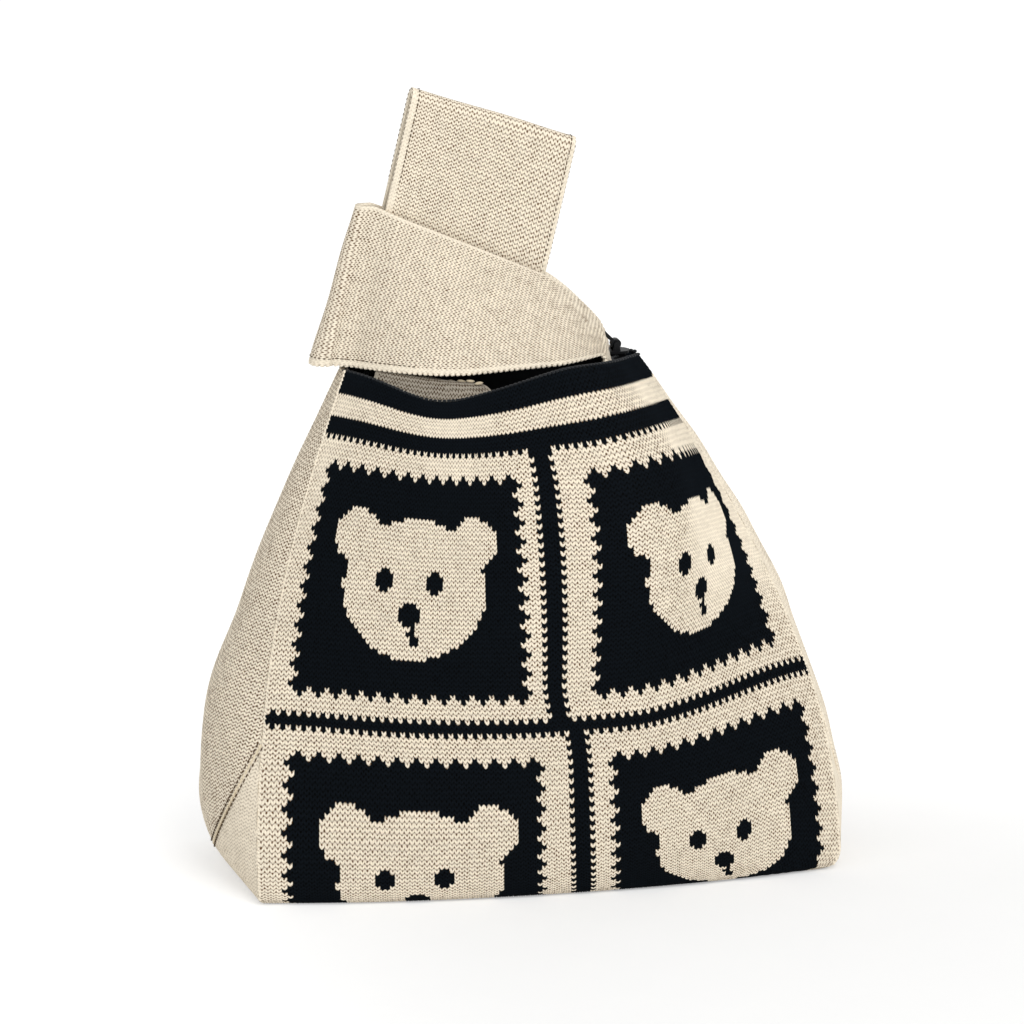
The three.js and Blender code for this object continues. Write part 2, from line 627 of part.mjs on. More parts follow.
function sliderSolid() {
  const coreHeight = SLIDER_THROAT + SLIDER_PLATE;
  const pin = new THREE.CylinderGeometry(PIN / 2, PIN / 2, 2 * lugY + LUG_THICKNESS, 2 * ROUND_STEPS);
  return [
    shieldSolid(SLIDER_LENGTH, SLIDER_WIDTH, SLIDER_NOSE, SLIDER_PLATE, SLIDER_THROAT / 2),
    shieldSolid(SLIDER_LENGTH, SLIDER_WIDTH, SLIDER_NOSE, SLIDER_PLATE, -SLIDER_THROAT / 2 - SLIDER_PLATE),
    shieldSolid(SLIDER_CORE_LENGTH, SLIDER_CORE_WIDTH, SLIDER_NOSE / 2, coreHeight, -coreHeight / 2),
    lugSolid(1),
    lugSolid(-1),
    pin.translate(0, 0, pinHeight),
  ].map(toManifold).reduce((whole, piece) => whole.add(piece));
}

// Pull: a tab with an eye round the pin.
function pullSolid() {
  const eye = PIN / 2 + CLEARANCE;
  const round = eye + PULL_EYE;
  const outline = new THREE.Shape();
  outline.moveTo(0, -PULL_THICKNESS / 2);
  outline.lineTo(PULL_LENGTH, -PULL_THICKNESS / 2);
  outline.lineTo(PULL_LENGTH, PULL_THICKNESS / 2);
  outline.lineTo(0, PULL_THICKNESS / 2);
  outline.closePath();
  const tab = new THREE.ExtrudeGeometry(outline, { depth: PULL_WIDTH, bevelEnabled: false });
  const ring = new THREE.CylinderGeometry(round, round, PULL_WIDTH, 2 * ROUND_STEPS).rotateX(Math.PI / 2);
  const hole = new THREE.CylinderGeometry(eye, eye, PULL_WIDTH * 2, 2 * ROUND_STEPS).rotateX(Math.PI / 2);
  const solid = toManifold(tab.translate(0, 0, -PULL_WIDTH / 2))
    .add(toManifold(ring)).subtract(toManifold(hole));
  return fromManifold(solid).rotateX(Math.PI / 2);
}

const sliderGroup = new THREE.Group();
const zipEnd = behindPanel(-1, ZIP_REACH, zipLevel(ZIP_REACH), COIL_DEPTH);
sliderGroup.position.set(zipEnd.x, 0, zipEnd.z);
bag.add(sliderGroup);
addPart('zip_slider', fromManifold(sliderSolid()), ENAMEL, sliderGroup);
const pull = addPart('zip_pull', pullSolid(), ENAMEL, sliderGroup);
pull.position.set(0, 0, pinHeight);
pull.rotation.y = -PULL_TILT;

export default bag;
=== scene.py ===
"""Knitted knot bag: two patterned panels, gussets, a long handle drawn through a short one, and a zip."""

import math

import bpy
import numpy as np
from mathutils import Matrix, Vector


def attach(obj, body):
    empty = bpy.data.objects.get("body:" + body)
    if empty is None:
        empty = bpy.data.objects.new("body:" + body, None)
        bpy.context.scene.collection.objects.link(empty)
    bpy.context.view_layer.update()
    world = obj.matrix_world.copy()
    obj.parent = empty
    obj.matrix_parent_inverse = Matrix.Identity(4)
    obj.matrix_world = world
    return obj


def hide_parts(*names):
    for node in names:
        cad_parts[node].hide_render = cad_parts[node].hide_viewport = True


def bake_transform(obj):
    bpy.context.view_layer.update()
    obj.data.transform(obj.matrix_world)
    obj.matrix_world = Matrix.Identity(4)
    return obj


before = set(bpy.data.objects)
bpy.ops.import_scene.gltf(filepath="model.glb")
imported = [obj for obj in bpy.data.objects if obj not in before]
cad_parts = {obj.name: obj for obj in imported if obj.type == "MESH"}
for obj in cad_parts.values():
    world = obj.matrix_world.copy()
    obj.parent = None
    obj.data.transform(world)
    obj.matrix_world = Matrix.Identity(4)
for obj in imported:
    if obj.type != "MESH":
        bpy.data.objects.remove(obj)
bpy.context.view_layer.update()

bl_info = {
    "name": "Knitted Knot Bag",
    "version": (1, 0, 0),
    "blender": (4, 5, 0),
    "location": "View3D > Sidebar > Knot Bag",
    "description": "Builds the knitted bag stitch by stitch on its packed frame",
    "category": "Object",
}

MM = 0.001

# Body, in millimetres, as in the solids.
BASE_WIDTH = 260
BASE_DEPTH = 108
BASE_EDGE_RADIUS = 2.5
BODY_HEIGHT = 228
MOUTH_LENGTH = 133
MOUTH_DEPTH = 77
MOUTH_END_WIDTH = 9
MOUTH_SHIFT = -14.5
LEAN_START = 68
LEAN_CURVE = 1.3
WIDTH_CURVE = 1.2
DEPTH_CURVE = 0.9
BOW_CURVE = 2.2
HEM_SAG = 5
SAG_CURVE = 4
# How the front lip lies against an even hem: by how much, and the middle and reach across the panel.
LIP_DROP = (-6.2, -0.49, 0.32)  # lower where the long handle pulls
LIP_RISE = (6, 0.38, 0.38)  # higher by the zip
LIP_CURVE = 9
BELLY = 16
BELLY_RISE = 25
BASE_BOW = 0.85  # share of the belly that the base's long edges already have
GUSSET_BULGE = 14
GUSSET_BULGE_RISE = 12
GUSSET_CURVE = 1.2
LEFT_SWELL = 6.5  # the left gusset hangs out by this much more
LEFT_SWELL_PLACE = (68, 44)  # height of the swell's middle, and its reach
RIGHT_DRAW = 5.6  # the right one is drawn in by this much at a third of its height
RIGHT_DRAW_PLACE = (78, 52)
SWELL_RISE = 12  # both start from nothing at the base
RIGHT_FLARE = 4.4  # the right ridges spread by this much towards the base
RIGHT_FLARE_FADE = 85
RIGHT_FLARE_CURVE = 2.5
RIGHT_FOOT_RADIUS = 9  # and are rounded at their feet
KNIT = 2.6
CORNER_SEAM_RISE = 70
CORNER_SEAM_FOOT = 8
CORNER_SEAM_CURVE = 3.5
SEAM_DRAW = 0.25  # each sheet stops this far short of a ridge or a seam
MITRE = 3.1  # the inside of a sheet is this much narrower at a ridge
MITRE_MOST = 0.8  # but by no more than this share of what is there
WAVE_COUNT = 7  # soft waves that lie over each other in the cloth
WAVE_LENGTHS = (28, 70)
WAVE_SUM = 5
PANEL_SEED = 4
GUSSET_SEED = 11
LONG_HANDLE_SEED = 21
SHORT_HANDLE_SEED = 33

# Handles.
STRAP_WIDTH = 78
STRAP_KNIT = 2.4
LOOP_GAP = 4.4
LOOP_HEIGHT = 51.5
LOOP_RIGHT_RISE = 6  # the loop's right edge is longer by this much
FOLD_LEFT = np.array([-61.4, 0.0, 301.7])
FOLD_TILT = math.radians(23.3)
LOOP_LEAN = math.radians(9.9)
LEG_FIRST = -0.85
LEG_LAST = -0.12
GATHER_X = -62  # the legs are gathered towards here inside the short handle
LEG_GATHER = (0.28, 0.6, 0.6, 0.3)
LEG_RIGHT_GATHER = (0.5, 0.85, 0.7, 0.35)  # at their right edges
LEG_RIGHT_RISE = (0.0, 0.02, 0.2, 0.5)
LEG_ROOT = 0.17  # share of the handle's length that lies in the mouth
LEG_TUCK = 9
LEG_POINTS = 90
LOOP_POINTS = 40
LOOP_TURN_POINTS = 15
TUCK_CLEARANCE = 0.8
LEG_ROLL_GAP = 5.2
# Stages of a leg's way from the lip to the fold: how far it has come, how much of the lip's depth is left,
# and how far it has risen.
LEG_STAGES = ((0.1, 0.66, 0.05), (0.22, 0.28, 0.13), (0.4, 0.085, 0.28), (0.6, 0.025, 0.52))
BAND_FOLD_LOW = np.array([-95.0, 0.0, 230.0])  # lower end of the short handle's fold
BAND_FOLD_HIGH = np.array([-73.8, 0.0, 300.8])  # and its upper end
BAND_FOLD_LOW_RADIUS = 6
BAND_FOLD_HIGH_RADIUS = 3.0
BAND_LOW_END = 37.0
BAND_HIGH_END = (36.8, 42.5)  # right end of its upper edge, at the front and at the back
BAND_LOW_LEVEL = 229.8  # height of its lower edge, which rises gently to the right
BAND_LOW_RISE = 0.055
BAND_RISE_START = -30
BAND_SPREAD = 30  # its layers part by this much each, from the fold to the root
BAND_OPENING = (-0.1, 0.45)
BAND_LEAST_OPEN = 4
BAND_HIGH_SPREAD = 8
BAND_HIGH_OPENING = (0, 0.15)
BAND_FOLD_LIFT = 1.2  # the lower edge is drawn up at the fold
BAND_FOLD_REACH = (0, 0.1)
BAND_DROP = 0.45
BAND_DROP_LAG = 4
BAND_DROP_START = 5
BAND_CURVE = 0.0143
BAND_TUCK = 12  # its ends go down into the mouth by this much
BAND_LOW_TUCK_REACH = 5
BAND_HIGH_TUCK_START = 0.965
BAND_BULGE = 2.5
BAND_BULGE_REACH = (0, 0.6)
BAND_LINES = 70  # lines across each layer
BAND_TURN_LINES = 25
BAND_POINTS = 15
BAND_SELVEDGE_SPAN = (0.01, 0.99)
BAND_FOLD_SPAN = (0.33, 0.67)  # the stretch with a stitched line, round the fold
STRAP_COLUMNS = 37
STRAP_ROW = 1.9
STRAP_TURN = 3  # legs in a strap's turned edge
STRAP_RELIEF = 0.28
STRAP_GROOVE = 0.12
STRAP_WAVE = 0.35  # a strap's waves, as a share of the body's
TURN_GAPS = 0.25  # how much gaps show on the turned edge
ROOT_GAPS = 1.3  # and in the mouth
# Down in the mouth the stronger gaps and the yarn drawn towards the dark yarn are painted shade, fading out
# at the root's edge.
ROOT_SHADE = 0.62
ROOT_FADE = (-0.06, 0.02)
BLEND_BELOW = 9  # the stitched lines on the loop's edges start this far above its fold
THREAD_LIFT = 0.2
EDGE_THREAD_LIFT = 0.8
MOUTH_SELVEDGE_COLUMN = -6
MOUTH_SELVEDGE_RAISE = 0.8
MOUTH_SELVEDGE_SPANS = ((0.03, 0.2), (0.8, 0.97))  # shares of the handle's length

# Zip.
TAPE_WIDTH = 13
TAPE_THICKNESS = 0.8
COIL = 1.6
CLEARANCE = 0.3
ZIP_REACH = 0.945
TAPE_REACH = 0.88
ZIP_DROP = 5
ZIP_RISE_END = 0.7
COIL_POINTS = 120
TAPE_COLUMNS = 12
TAPE_ROWS = 90
TAPE_RELIEF = 0.06
TAPE_GROOVE = 0.05

SLOT_DEPTH = KNIT + TUCK_CLEARANCE + STRAP_KNIT / 2
LAYER_Y = (LOOP_GAP + STRAP_KNIT) / 2
TAPE_DEPTH = SLOT_DEPTH + STRAP_KNIT / 2 + TUCK_CLEARANCE
COIL_DEPTH = TAPE_DEPTH + TAPE_THICKNESS + CLEARANCE + COIL / 2

# Knitting chart of a panel, counted in stitches from its left ridge and in rows from its hem.
CHART_COLUMNS = 128
CHART_ROWS = 136
WINDOW = 53  # columns
WINDOW_ROWS = 49
LEFT_MARGIN = 4
UPPER_WINDOW_ROW = 19
LOWER_WINDOW_ROW = 79
UPPER_POST = 60  # first dark column of the post between the upper windows
LOWER_POST = 63
UPPER_RIGHT_WINDOW = 69
LOWER_RIGHT_WINDOW = 70
POST_WIDTH = 3
RAIL_ROW = 72  # first dark row of the rail between upper and lower windows
RAIL_HEIGHT = 2
HEM_DARK = 5
HEM_CREAM = 10  # row where the cream stripe ends
HEM_STRIPES = 14  # row where the second dark stripe ends
TOOTH = (2, 1, 0, 1)  # how far the cream teeth reach into a window, stitch by stitch
# Ovals of a bear's head, from the middle of its window: column, row, half width, half height, roundness.
BEAR_HEAD = (0.8, 0.5, 16.9, 15.0, 1.9)
BEAR_EAR = (14.5, -9.8, 5.9, 5.7, 1.75)
BEAR_EAR_MIDDLE = 0.4  # column midway between the ears
BEAR_EYE = (6, -1, 2.1, 2.5, 2)
BEAR_EYE_MIDDLE = -0.5
BEAR_NOSE = (0, 6, 2.4, 2.95, 2)
BEAR_MOUTH = ((1, 9, 12), (2, 11, 12), (0, 10, 10))  # dark columns, with the first and last row of each

# Where chart columns lie across a panel, as shares of its half width, low down, at the middle and high up.
COLUMN_STOPS = (0, 8.5, 30, 52.5, 62, 74, 82, 94, 106, 118, 128)
LOW_SHARES = (-1, -0.842, -0.479, -0.098, 0.06, 0.265, 0.385, 0.56, 0.72, 0.885, 1)
MIDDLE_SHARES = (-1, -0.859, -0.53, -0.138, 0.035, 0.25, 0.383, 0.563, 0.722, 0.873, 1)
HIGH_SHARES = (-1, -0.886, -0.505, -0.114, 0.135, 0.445, 0.68, 0.877, 0.94, 0.977, 1)
LOW_ROW = 81
MIDDLE_ROW = 65
HIGH_ROW = 21
# How far down the panel chart rows lie, in millimetres below the hem.
ROW_STOPS = (0, 14.5, 19, 68, 73, 79)
ROW_DEPTHS = (0, 27, 36, 137, 147.7, 160.5)
RIGHT_LIFT = 10  # the knit is drawn up by this much towards the right ridge
LIFT_SHARES = (0.3, 1.0)
LIFT_ROWS = (28, 60)
RIGHT_SAG = 3  # and hangs lower by this much in the upper right window
SAG_SHARES = (0.1, 0.5)
SAG_ROWS = (2, 26)
SAG_END_ROWS = (44, 62)
# The row that lies on the edge of the base, at places across the panel, and the row heights from there up.
EDGE_SHARES = (-1, -0.45, 0.1, 0.5, 0.72, 0.9, 1)
EDGE_ROWS = (110.5, 110, 114, 119, 118, 114, 113.5)
EDGE_OVER = 1.5  # how far round the edge that row lies
UPPER_ROW_HEIGHT = 2.05
EDGE_ROW_HEIGHT = 0.55
RIGHT_EDGE_ROW_HEIGHT = 2.1
RIGHT_EDGE_SHARES = (0.6, 0.9)
FOLD_ROW = 122  # from here the cloth is under the base, and its legs are left flat
FLAT_ROWS = (92, 112)  # the waves die away towards the base
# Legs closer than the second of these pitches start to lie flat; at the first they are as flat as they get.
UPPER_CROWD = (0.4, 0.95)
LOWER_CROWD = (0.25, 0.75)
CROWD_ROWS = (48, 72)
CROWD_SHOWN = 0.4

RELIEF = 0.36  # how far a stitch's leg stands out
GROOVE = 0.22  # and how deep the gaps between legs are
LEG_SLANT = 0.5  # rise of a leg, in rows
LEG_WIDTH = 1.03  # a stitch has two legs
ROW_HEIGHT = 2.0  # a stitch is about as wide
SMALLEST = 1e-9
TURNED = 0.2  # a way out that points back by more than this is turned round

# The gussets' knit is stretched across, and drawn wider than it is, to show at a slant.
GUSSET_STITCH = 2.4
GUSSET_ROW = 1.7
GUSSET_COLUMNS = 46
GUSSET_RELIEF = 0.18
GUSSET_GROOVE = 0.08
GUSSET_FREE = (4, 40)  # its waves grow from nothing between these heights
# The gaps are painted shade; above 1 they also darken the gussets all over, as painted shade.
GUSSET_GAPS = 1.15  # how much gaps show
CORNER_GAPS = 0.5
RIGHT_GAPS = 0.3
RIGHT_GAPS_SHARES = (-0.9, -0.2)

# Seams.
RIDGE_POINTS = 160
SEAM_SINK = 0.75  # a ridge seam's beads lie this far inside the ridge
LEFT_SEAM_STOP = 1  # distance of its end below the hem
RIGHT_SEAM_STOP = 10.5
CORNER_SEAM_REACH = 0.98
CORNER_SEAM_POINTS = 120
RIGHT_SEWN_FROM = 40  # the right corner seam's dashes start at this point of it
DASH_ASIDE = 1.5
DASH_LIFT = 0.35
BASE_SEAM_REACH = 118
BASE_SEAM_LEVEL = 0.6
BASE_SEAM_POINTS = 60
HEM_POINTS = 200

# Gaps and lines between the knit's legs, darkened with the groove colours as painted shade: how far they
# stray, their stretch, where they fade, their depth.
STRAY = (1.1, 0.8, 0)
GAP_STRETCH = (1.2, 0.85)
GAP_UNEVEN = 0.6
GAP_EDGE = (-0.12, 0.22)
LINE_EDGE = (0.06, 0.26)
LINE_DEPTH = 0.56
SIDE_EDGE = (0.06, 0.3)
SIDE_DEPTH = 0.16

# Patterns in the materials, in millimetres.
STRAY_SIZE = 3.846
UNEVEN_SIZE = 2.083
SLUB_SIZE = 5.882
FIBRE_SIZE = 0.5
FIBRE_HEIGHT = 0.3
TWIST_SIZE = 1
MARK_SIZE = 1.43
GRAIN_SIZE = 33

# Studio, in metres and degrees.
FLOOR_REACH = 8
FLOOR_DROP = 0.0004
GLOW_CENTRE = (0.12, -0.22, 0)  # the floor glows least here, before the bag
GLOW_REACH = (0.15, 0.5)
GLOW_STRENGTH = (0.36, 0.62)
FLOOR_DIM = 0.4
AIM = (0, 0, 0.15)  # what the lamps and the camera point at
KEY_PLACE = (0.5, -1.9, 1.9)
KEY_SIZE = 1.6
FILL_PLACE = (-1.9, -1.1, 1.3)
FILL_SIZE = 1.8
FILL_SHARE = 0.12  # of the key lamp's power
SENSOR_WIDTH = 36
CAMERA_AZIMUTH = -12.058
CAMERA_ELEVATION = 14.4
CAMERA_DISTANCE = 3.408
CAMERA_SHIFT = (-0.01006, 0.01719)
CAMERA_CLIP = 50


def linear(hex_colour):
    """An sRGB hex colour as linear red, green, blue and alpha."""
    channels = [int(hex_colour[i:i + 2], 16) / 255 for i in (1, 3, 5)]
    return [c / 12.92 if c <= 0.04045 else ((c + 0.055) / 1.055) ** 2.4 for c in channels] + [1.0]


class KnitSettings(bpy.types.PropertyGroup):
    """Yarns and stitches of the body."""
    dark_yarn: bpy.props.FloatVectorProperty(
        name="Dark yarn", description="Blue-black yarn of the panels", subtype="COLOR", size=4,
        min=0, max=1, default=linear("#0b1015"))
    # Painted shade: the dark yarn's colour in the gaps between stitches.
    dark_gap_shade: bpy.props.FloatVectorProperty(
        name="Dark grooves", description="Painted shade of the dark yarn in the gaps between stitches", subtype="COLOR", size=4,
        min=0, max=1, default=linear("#000000"))
    cream_yarn: bpy.props.FloatVectorProperty(
        name="Cream yarn", description="Undyed cotton yarn", subtype="COLOR", size=4,
        min=0, max=1, default=linear("#ece1cd"))
    # Painted shade: a brown copy of the cream yarn for the gaps between stitches.
    cream_gap_shade: bpy.props.FloatVectorProperty(
        name="Cream grooves", description="Painted shade of the cream yarn in the gaps between stitches", subtype="COLOR", size=4,
        min=0, max=1, default=linear("#5c3f1f"))
    sewing_yarn: bpy.props.FloatVectorProperty(
        name="Sewing yarn", description="Thread of the seams", subtype="COLOR", size=4,
        min=0, max=1, default=linear("#e0d1b5"))
    # Painted shade: a dark copy of the sewing yarn for thread drawn into the knit.
    sunk_thread_shade: bpy.props.FloatVectorProperty(
        name="Sunk thread", description="Painted shade of the thread where it is drawn into the knit", subtype="COLOR", size=4,
        min=0, max=1, default=linear("#52412b"))
    # Painted shade: a darker copy of the cream yarn for the selvedge down in the mouth.
    shaded_selvedge_yarn: bpy.props.FloatVectorProperty(
        name="Shaded selvedge yarn", description="Painted shade of the cream yarn at the edge down in the mouth", subtype="COLOR", size=4,
        min=0, max=1, default=linear("#b3a68d"))
    wave: bpy.props.FloatProperty(
        name="Wave", description="Height of the soft waves in the cloth", unit="LENGTH", min=0,
        default=0.0012)


class ZipSettings(bpy.types.PropertyGroup):
    """Finish of the zip."""
    tape: bpy.props.FloatVectorProperty(
        name="Tape", description="Woven black tape", subtype="COLOR", size=4, min=0, max=1,
        default=linear("#14171a"))
    enamel: bpy.props.FloatVectorProperty(
        name="Enamel", description="Black enamel of the slider", subtype="COLOR", size=4, min=0, max=1,
        default=linear("#0d0e10"))
    tooth_spacing: bpy.props.FloatProperty(
        name="Tooth spacing", description="Distance from turn to turn of the coil", unit="LENGTH",
        min=0.0005, default=0.0014)


class StageSettings(bpy.types.PropertyGroup):
    """Floor, light and camera."""
    floor: bpy.props.FloatVectorProperty(
        name="Floor", description="Colour of the floor", subtype="COLOR", size=4, min=0, max=1,
        default=linear("#f4f4f3"))
    key_power: bpy.props.FloatProperty(
        name="Key light", description="Power of the soft lamp at the front", unit="POWER", min=0,
        default=38.5)
    sky: bpy.props.FloatProperty(
        name="Sky", description="Strength of the even light all round", min=0, default=0.75)
    lens: bpy.props.FloatProperty(
        name="Lens", description="Focal length in millimetres on a sensor 36 mm wide", min=1, default=269.05)


def share(z):
    """A height as a share of the body's."""
    return np.clip(z / BODY_HEIGHT, 0, 1)


def edge_inset(z):
    """How far the rounded edge of the base draws a wall in."""
    rise = np.clip(z, 0, BASE_EDGE_RADIUS)
    return BASE_EDGE_RADIUS - np.sqrt(BASE_EDGE_RADIUS ** 2 - (BASE_EDGE_RADIUS - rise) ** 2)


def middle_x(z):
    """Middle of the body, which leans to the left higher up."""
    return MOUTH_SHIFT * (np.maximum(z - LEAN_START, 0) / (BODY_HEIGHT - LEAN_START)) ** LEAN_CURVE


def ridge_x(z):
    """Half the body's length between its ridges."""
    spread = (BASE_WIDTH - MOUTH_LENGTH) / 2
    return MOUTH_LENGTH / 2 + spread * np.cos(np.pi / 2 * share(z) ** WIDTH_CURVE) - edge_inset(z)


def ridge_out(side, z):
    """How far a ridge lies from the middle."""
    if side < 0:
        return ridge_x(z)
    below = RIGHT_FOOT_RADIUS - np.clip(z, 0, RIGHT_FOOT_RADIUS)
    rounded = RIGHT_FOOT_RADIUS - np.sqrt(RIGHT_FOOT_RADIUS ** 2 - below ** 2)
    flare = RIGHT_FLARE * np.exp(-(np.maximum(z, 0) / RIGHT_FLARE_FADE) ** RIGHT_FLARE_CURVE)
    return ridge_x(z) + edge_inset(z) - rounded + flare


def ridge_y(z):
    """Half its depth between its ridges."""
    spread = (BASE_DEPTH - MOUTH_END_WIDTH) / 2
    return MOUTH_END_WIDTH / 2 + spread * (1 - share(z)) ** DEPTH_CURVE - edge_inset(z)


def panel_bulge(z):
    """How far a panel's middle stands out."""
    mouth_bulge = (MOUTH_DEPTH - MOUTH_END_WIDTH) / 2
    low = 1 - (1 - BASE_BOW) * np.exp(-np.maximum(z, 0) / BELLY_RISE)
    return BELLY * low + (mouth_bulge - BELLY) * share(z)


def gusset_bulge(z):
    """How far a gusset's middle stands out."""
    rise = 1 - np.exp(-np.maximum(z, 0) / GUSSET_BULGE_RISE)
    return GUSSET_BULGE * rise * (1 - share(z) ** 2) ** GUSSET_CURVE


def bow(u):
    """Share of a bulge at a place across: 1 in the middle, 0 at the ridges."""
    return 1 - np.abs(u) ** BOW_CURVE


def hem_top(u):
    """Height of an even hem, which sags in the middle."""
    return BODY_HEIGHT - HEM_SAG * bow(np.clip(u, -1, 1)) ** 2


def smooth(x, low, high):
    """0 up to low, 1 from high, and a gentle change between."""
    t = np.clip((x - low) / (high - low), 0, 1)
    return t * t * (3 - 2 * t)


def lerp(a, b, t):
    """The share t of the way from a to b."""
    return a + (b - a) * t


def corner_seam(v):
    """Height of the slanted seam across a gusset."""
    return CORNER_SEAM_FOOT + (CORNER_SEAM_RISE - CORNER_SEAM_FOOT) * ((1 - v) / 2) ** CORNER_SEAM_CURVE


def soft_wave(x, y, seed):
    """Low waves that no two stretches of cloth share, from -1 to 1."""
    rng = np.random.default_rng(seed)
    total = np.zeros(np.broadcast(x, y).shape)
    for _ in range(WAVE_COUNT):
        length = rng.uniform(*WAVE_LENGTHS)
        angle, phase = rng.uniform(0, 2 * np.pi, 2)
        total = total + np.sin(2 * np.pi * (x * np.cos(angle) + y * np.sin(angle)) / length + phase)
    return total / WAVE_SUM


def hem_lie(u):
    """How far a lip lies above an even hem."""
    parts = (LIP_DROP, LIP_RISE)
    return sum(height * np.exp(-((u - middle) / reach) ** 2) for height, middle, reach in parts)


def smooth_stops(x, stops, values):
    """A curve through the stops that never runs back."""
    stops, values = np.array(stops, float), np.array(values, float)
    slopes = np.diff(values) / np.diff(stops)
    same = slopes[:-1] * slopes[1:] > 0
    inner = np.where(same, 2 * slopes[:-1] * slopes[1:] / np.where(same, slopes[:-1] + slopes[1:], 1), 0)
    tangent = np.concatenate([slopes[:1], inner, slopes[-1:]])
    i = np.clip(np.searchsorted(stops, x, side="right") - 1, 0, len(stops) - 2)
    step = stops[i + 1] - stops[i]
    t = (x - stops[i]) / step
    return ((2 * t ** 3 - 3 * t ** 2 + 1) * values[i] + (t ** 3 - 2 * t ** 2 + t) * step * tangent[i]
            + (3 * t ** 2 - 2 * t ** 3) * values[i + 1] + (t ** 3 - t ** 2) * step * tangent[i + 1])


def column_share(column, row):
    """Where a chart column lies across the panel at a row."""
    low = smooth_stops(column, COLUMN_STOPS, LOW_SHARES)
    middle = smooth_stops(column, COLUMN_STOPS, MIDDLE_SHARES)
    high = smooth_stops(column, COLUMN_STOPS, HIGH_SHARES)
    up = np.clip((MIDDLE_ROW - row) / (MIDDLE_ROW - HIGH_ROW), 0, 1)
    down = np.clip((row - MIDDLE_ROW) / (LOW_ROW - MIDDLE_ROW), 0, 1)
    return np.clip(lerp(lerp(middle, high, up), low, down), -1, 1)


def panel_point(column, row):
    """A point on the front panel's outside, from its chart position."""
    u = column_share(column, row)
    wall = hem_top(u) - BASE_EDGE_RADIUS
    arc = BASE_EDGE_RADIUS * np.pi / 2
    half_base = BASE_DEPTH / 2 - BASE_EDGE_RADIUS + panel_bulge(0.0) * bow(u)
    whole = wall + arc + half_base - SEAM_DRAW
    last_row = ROW_STOPS[-1]
    lift = RIGHT_LIFT * smooth(u, *LIFT_SHARES)
    start = ROW_DEPTHS[-1] - lift
    # Below the rail the rows crowd towards the edge of the base, where the cloth turns under.
    edge_row = smooth_stops(u, EDGE_SHARES, EDGE_ROWS)
    t = np.clip((row - last_row) / (edge_row - last_row), 0, 1)
    drop = wall + EDGE_OVER - start
    first = UPPER_ROW_HEIGHT * (edge_row - last_row) / drop
    lowest = lerp(EDGE_ROW_HEIGHT, RIGHT_EDGE_ROW_HEIGHT, smooth(u, *RIGHT_EDGE_SHARES))
    last = lowest * (edge_row - last_row) / drop
    eased = t * (first + t * (3 - 2 * first - last + t * (first + last - 2)))
    beyond = np.clip((row - edge_row) / (CHART_ROWS - edge_row), 0, 1)
    below = start + drop * eased + (whole - wall - EDGE_OVER) * beyond
    above = smooth_stops(np.minimum(row, last_row), ROW_STOPS, ROW_DEPTHS) - lift * smooth(row, *LIFT_ROWS)
    sagging = RIGHT_SAG * smooth(u, *SAG_SHARES) * smooth(row, *SAG_ROWS)
    above = above + sagging * (1 - smooth(row, *SAG_END_ROWS))
    depth = np.where(row <= last_row, above, below)
    # Down the wall.
    z = hem_top(u) - depth
    for _ in range(6):
        z = hem_top(u) - depth + HEM_SAG * bow(u) ** 2 * share(z) ** SAG_CURVE
    # Round the edge of the base, then along under it.
    turn = np.clip((depth - wall) / BASE_EDGE_RADIUS, 0, np.pi / 2)
    z = np.where(depth > wall, BASE_EDGE_RADIUS * (1 - np.sin(turn)), z)
    under = np.maximum(depth - wall - arc, 0)
    half = ridge_x(z) - SEAM_DRAW
    x = middle_x(z) + u * half + np.maximum(u, 0) ** 2 * (ridge_out(1, z) - ridge_x(z))
    y = -ridge_y(z) - panel_bulge(z) * bow(u) + under
    sag = HEM_SAG * bow(u) ** 2 * share(z) ** SAG_CURVE
    level = np.where(depth > wall, z, z - sag)
    level = level + hem_lie(u) * share(z) ** LIP_CURVE
    return np.stack([x, y, level], -1), under


def behind_panel(side, u, z, depth):
    """A point inside a panel; side is -1 at the front and 1 at the back."""
    nudge = 0.001
    x = ridge_x(z)
    point = np.array([middle_x(z) + u * x, -ridge_y(z) - panel_bulge(z) * bow(u)])
    ahead = np.array([middle_x(z) + (u + nudge) * x, -ridge_y(z) - panel_bulge(z) * bow(u + nudge)])
    along = (ahead - point) / np.linalg.norm(ahead - point)
    point = point + depth * np.array([-along[1], along[0]])
    return np.array([point[0], -side * point[1], z])


def gusset_point(side, v, z):
    """A point on a gusset's outside; v runs from -1 at the front ridge to 1 at the back one."""
    height, (middle, reach) = (LEFT_SWELL, LEFT_SWELL_PLACE) if side < 0 else (-RIGHT_DRAW, RIGHT_DRAW_PLACE)
    swell = height * np.exp(-((z - middle) / reach) ** 2) * smooth(z, 0, SWELL_RISE)
    x = middle_x(z) + side * (ridge_out(side, z) + (gusset_bulge(z) + swell) * (1 - v * v))
    return np.stack([x, v * ridge_y(z), z], -1)


def gusset_facing(side, v, z):
    """The way out of a gusset."""
    ahead_v = gusset_point(side, v + 0.01, z) - gusset_point(side, v - 0.01, z)
    ahead_z = gusset_point(side, v, z + 0.5) - gusset_point(side, v, np.maximum(z - 0.5, 0.01))
    facing = np.cross(ahead_v, ahead_z)
    facing /= np.linalg.norm(facing, axis=-1, keepdims=True)
    return facing * np.sign(facing[..., :1]) * side


def oval(column, row, middle, level, half_width, half_height, roundness):
    """Stitches inside an oval."""
    aside = np.abs(column - middle) / half_width
    off = np.abs(row - level) / half_height
    return aside ** roundness + off ** roundness <= 1


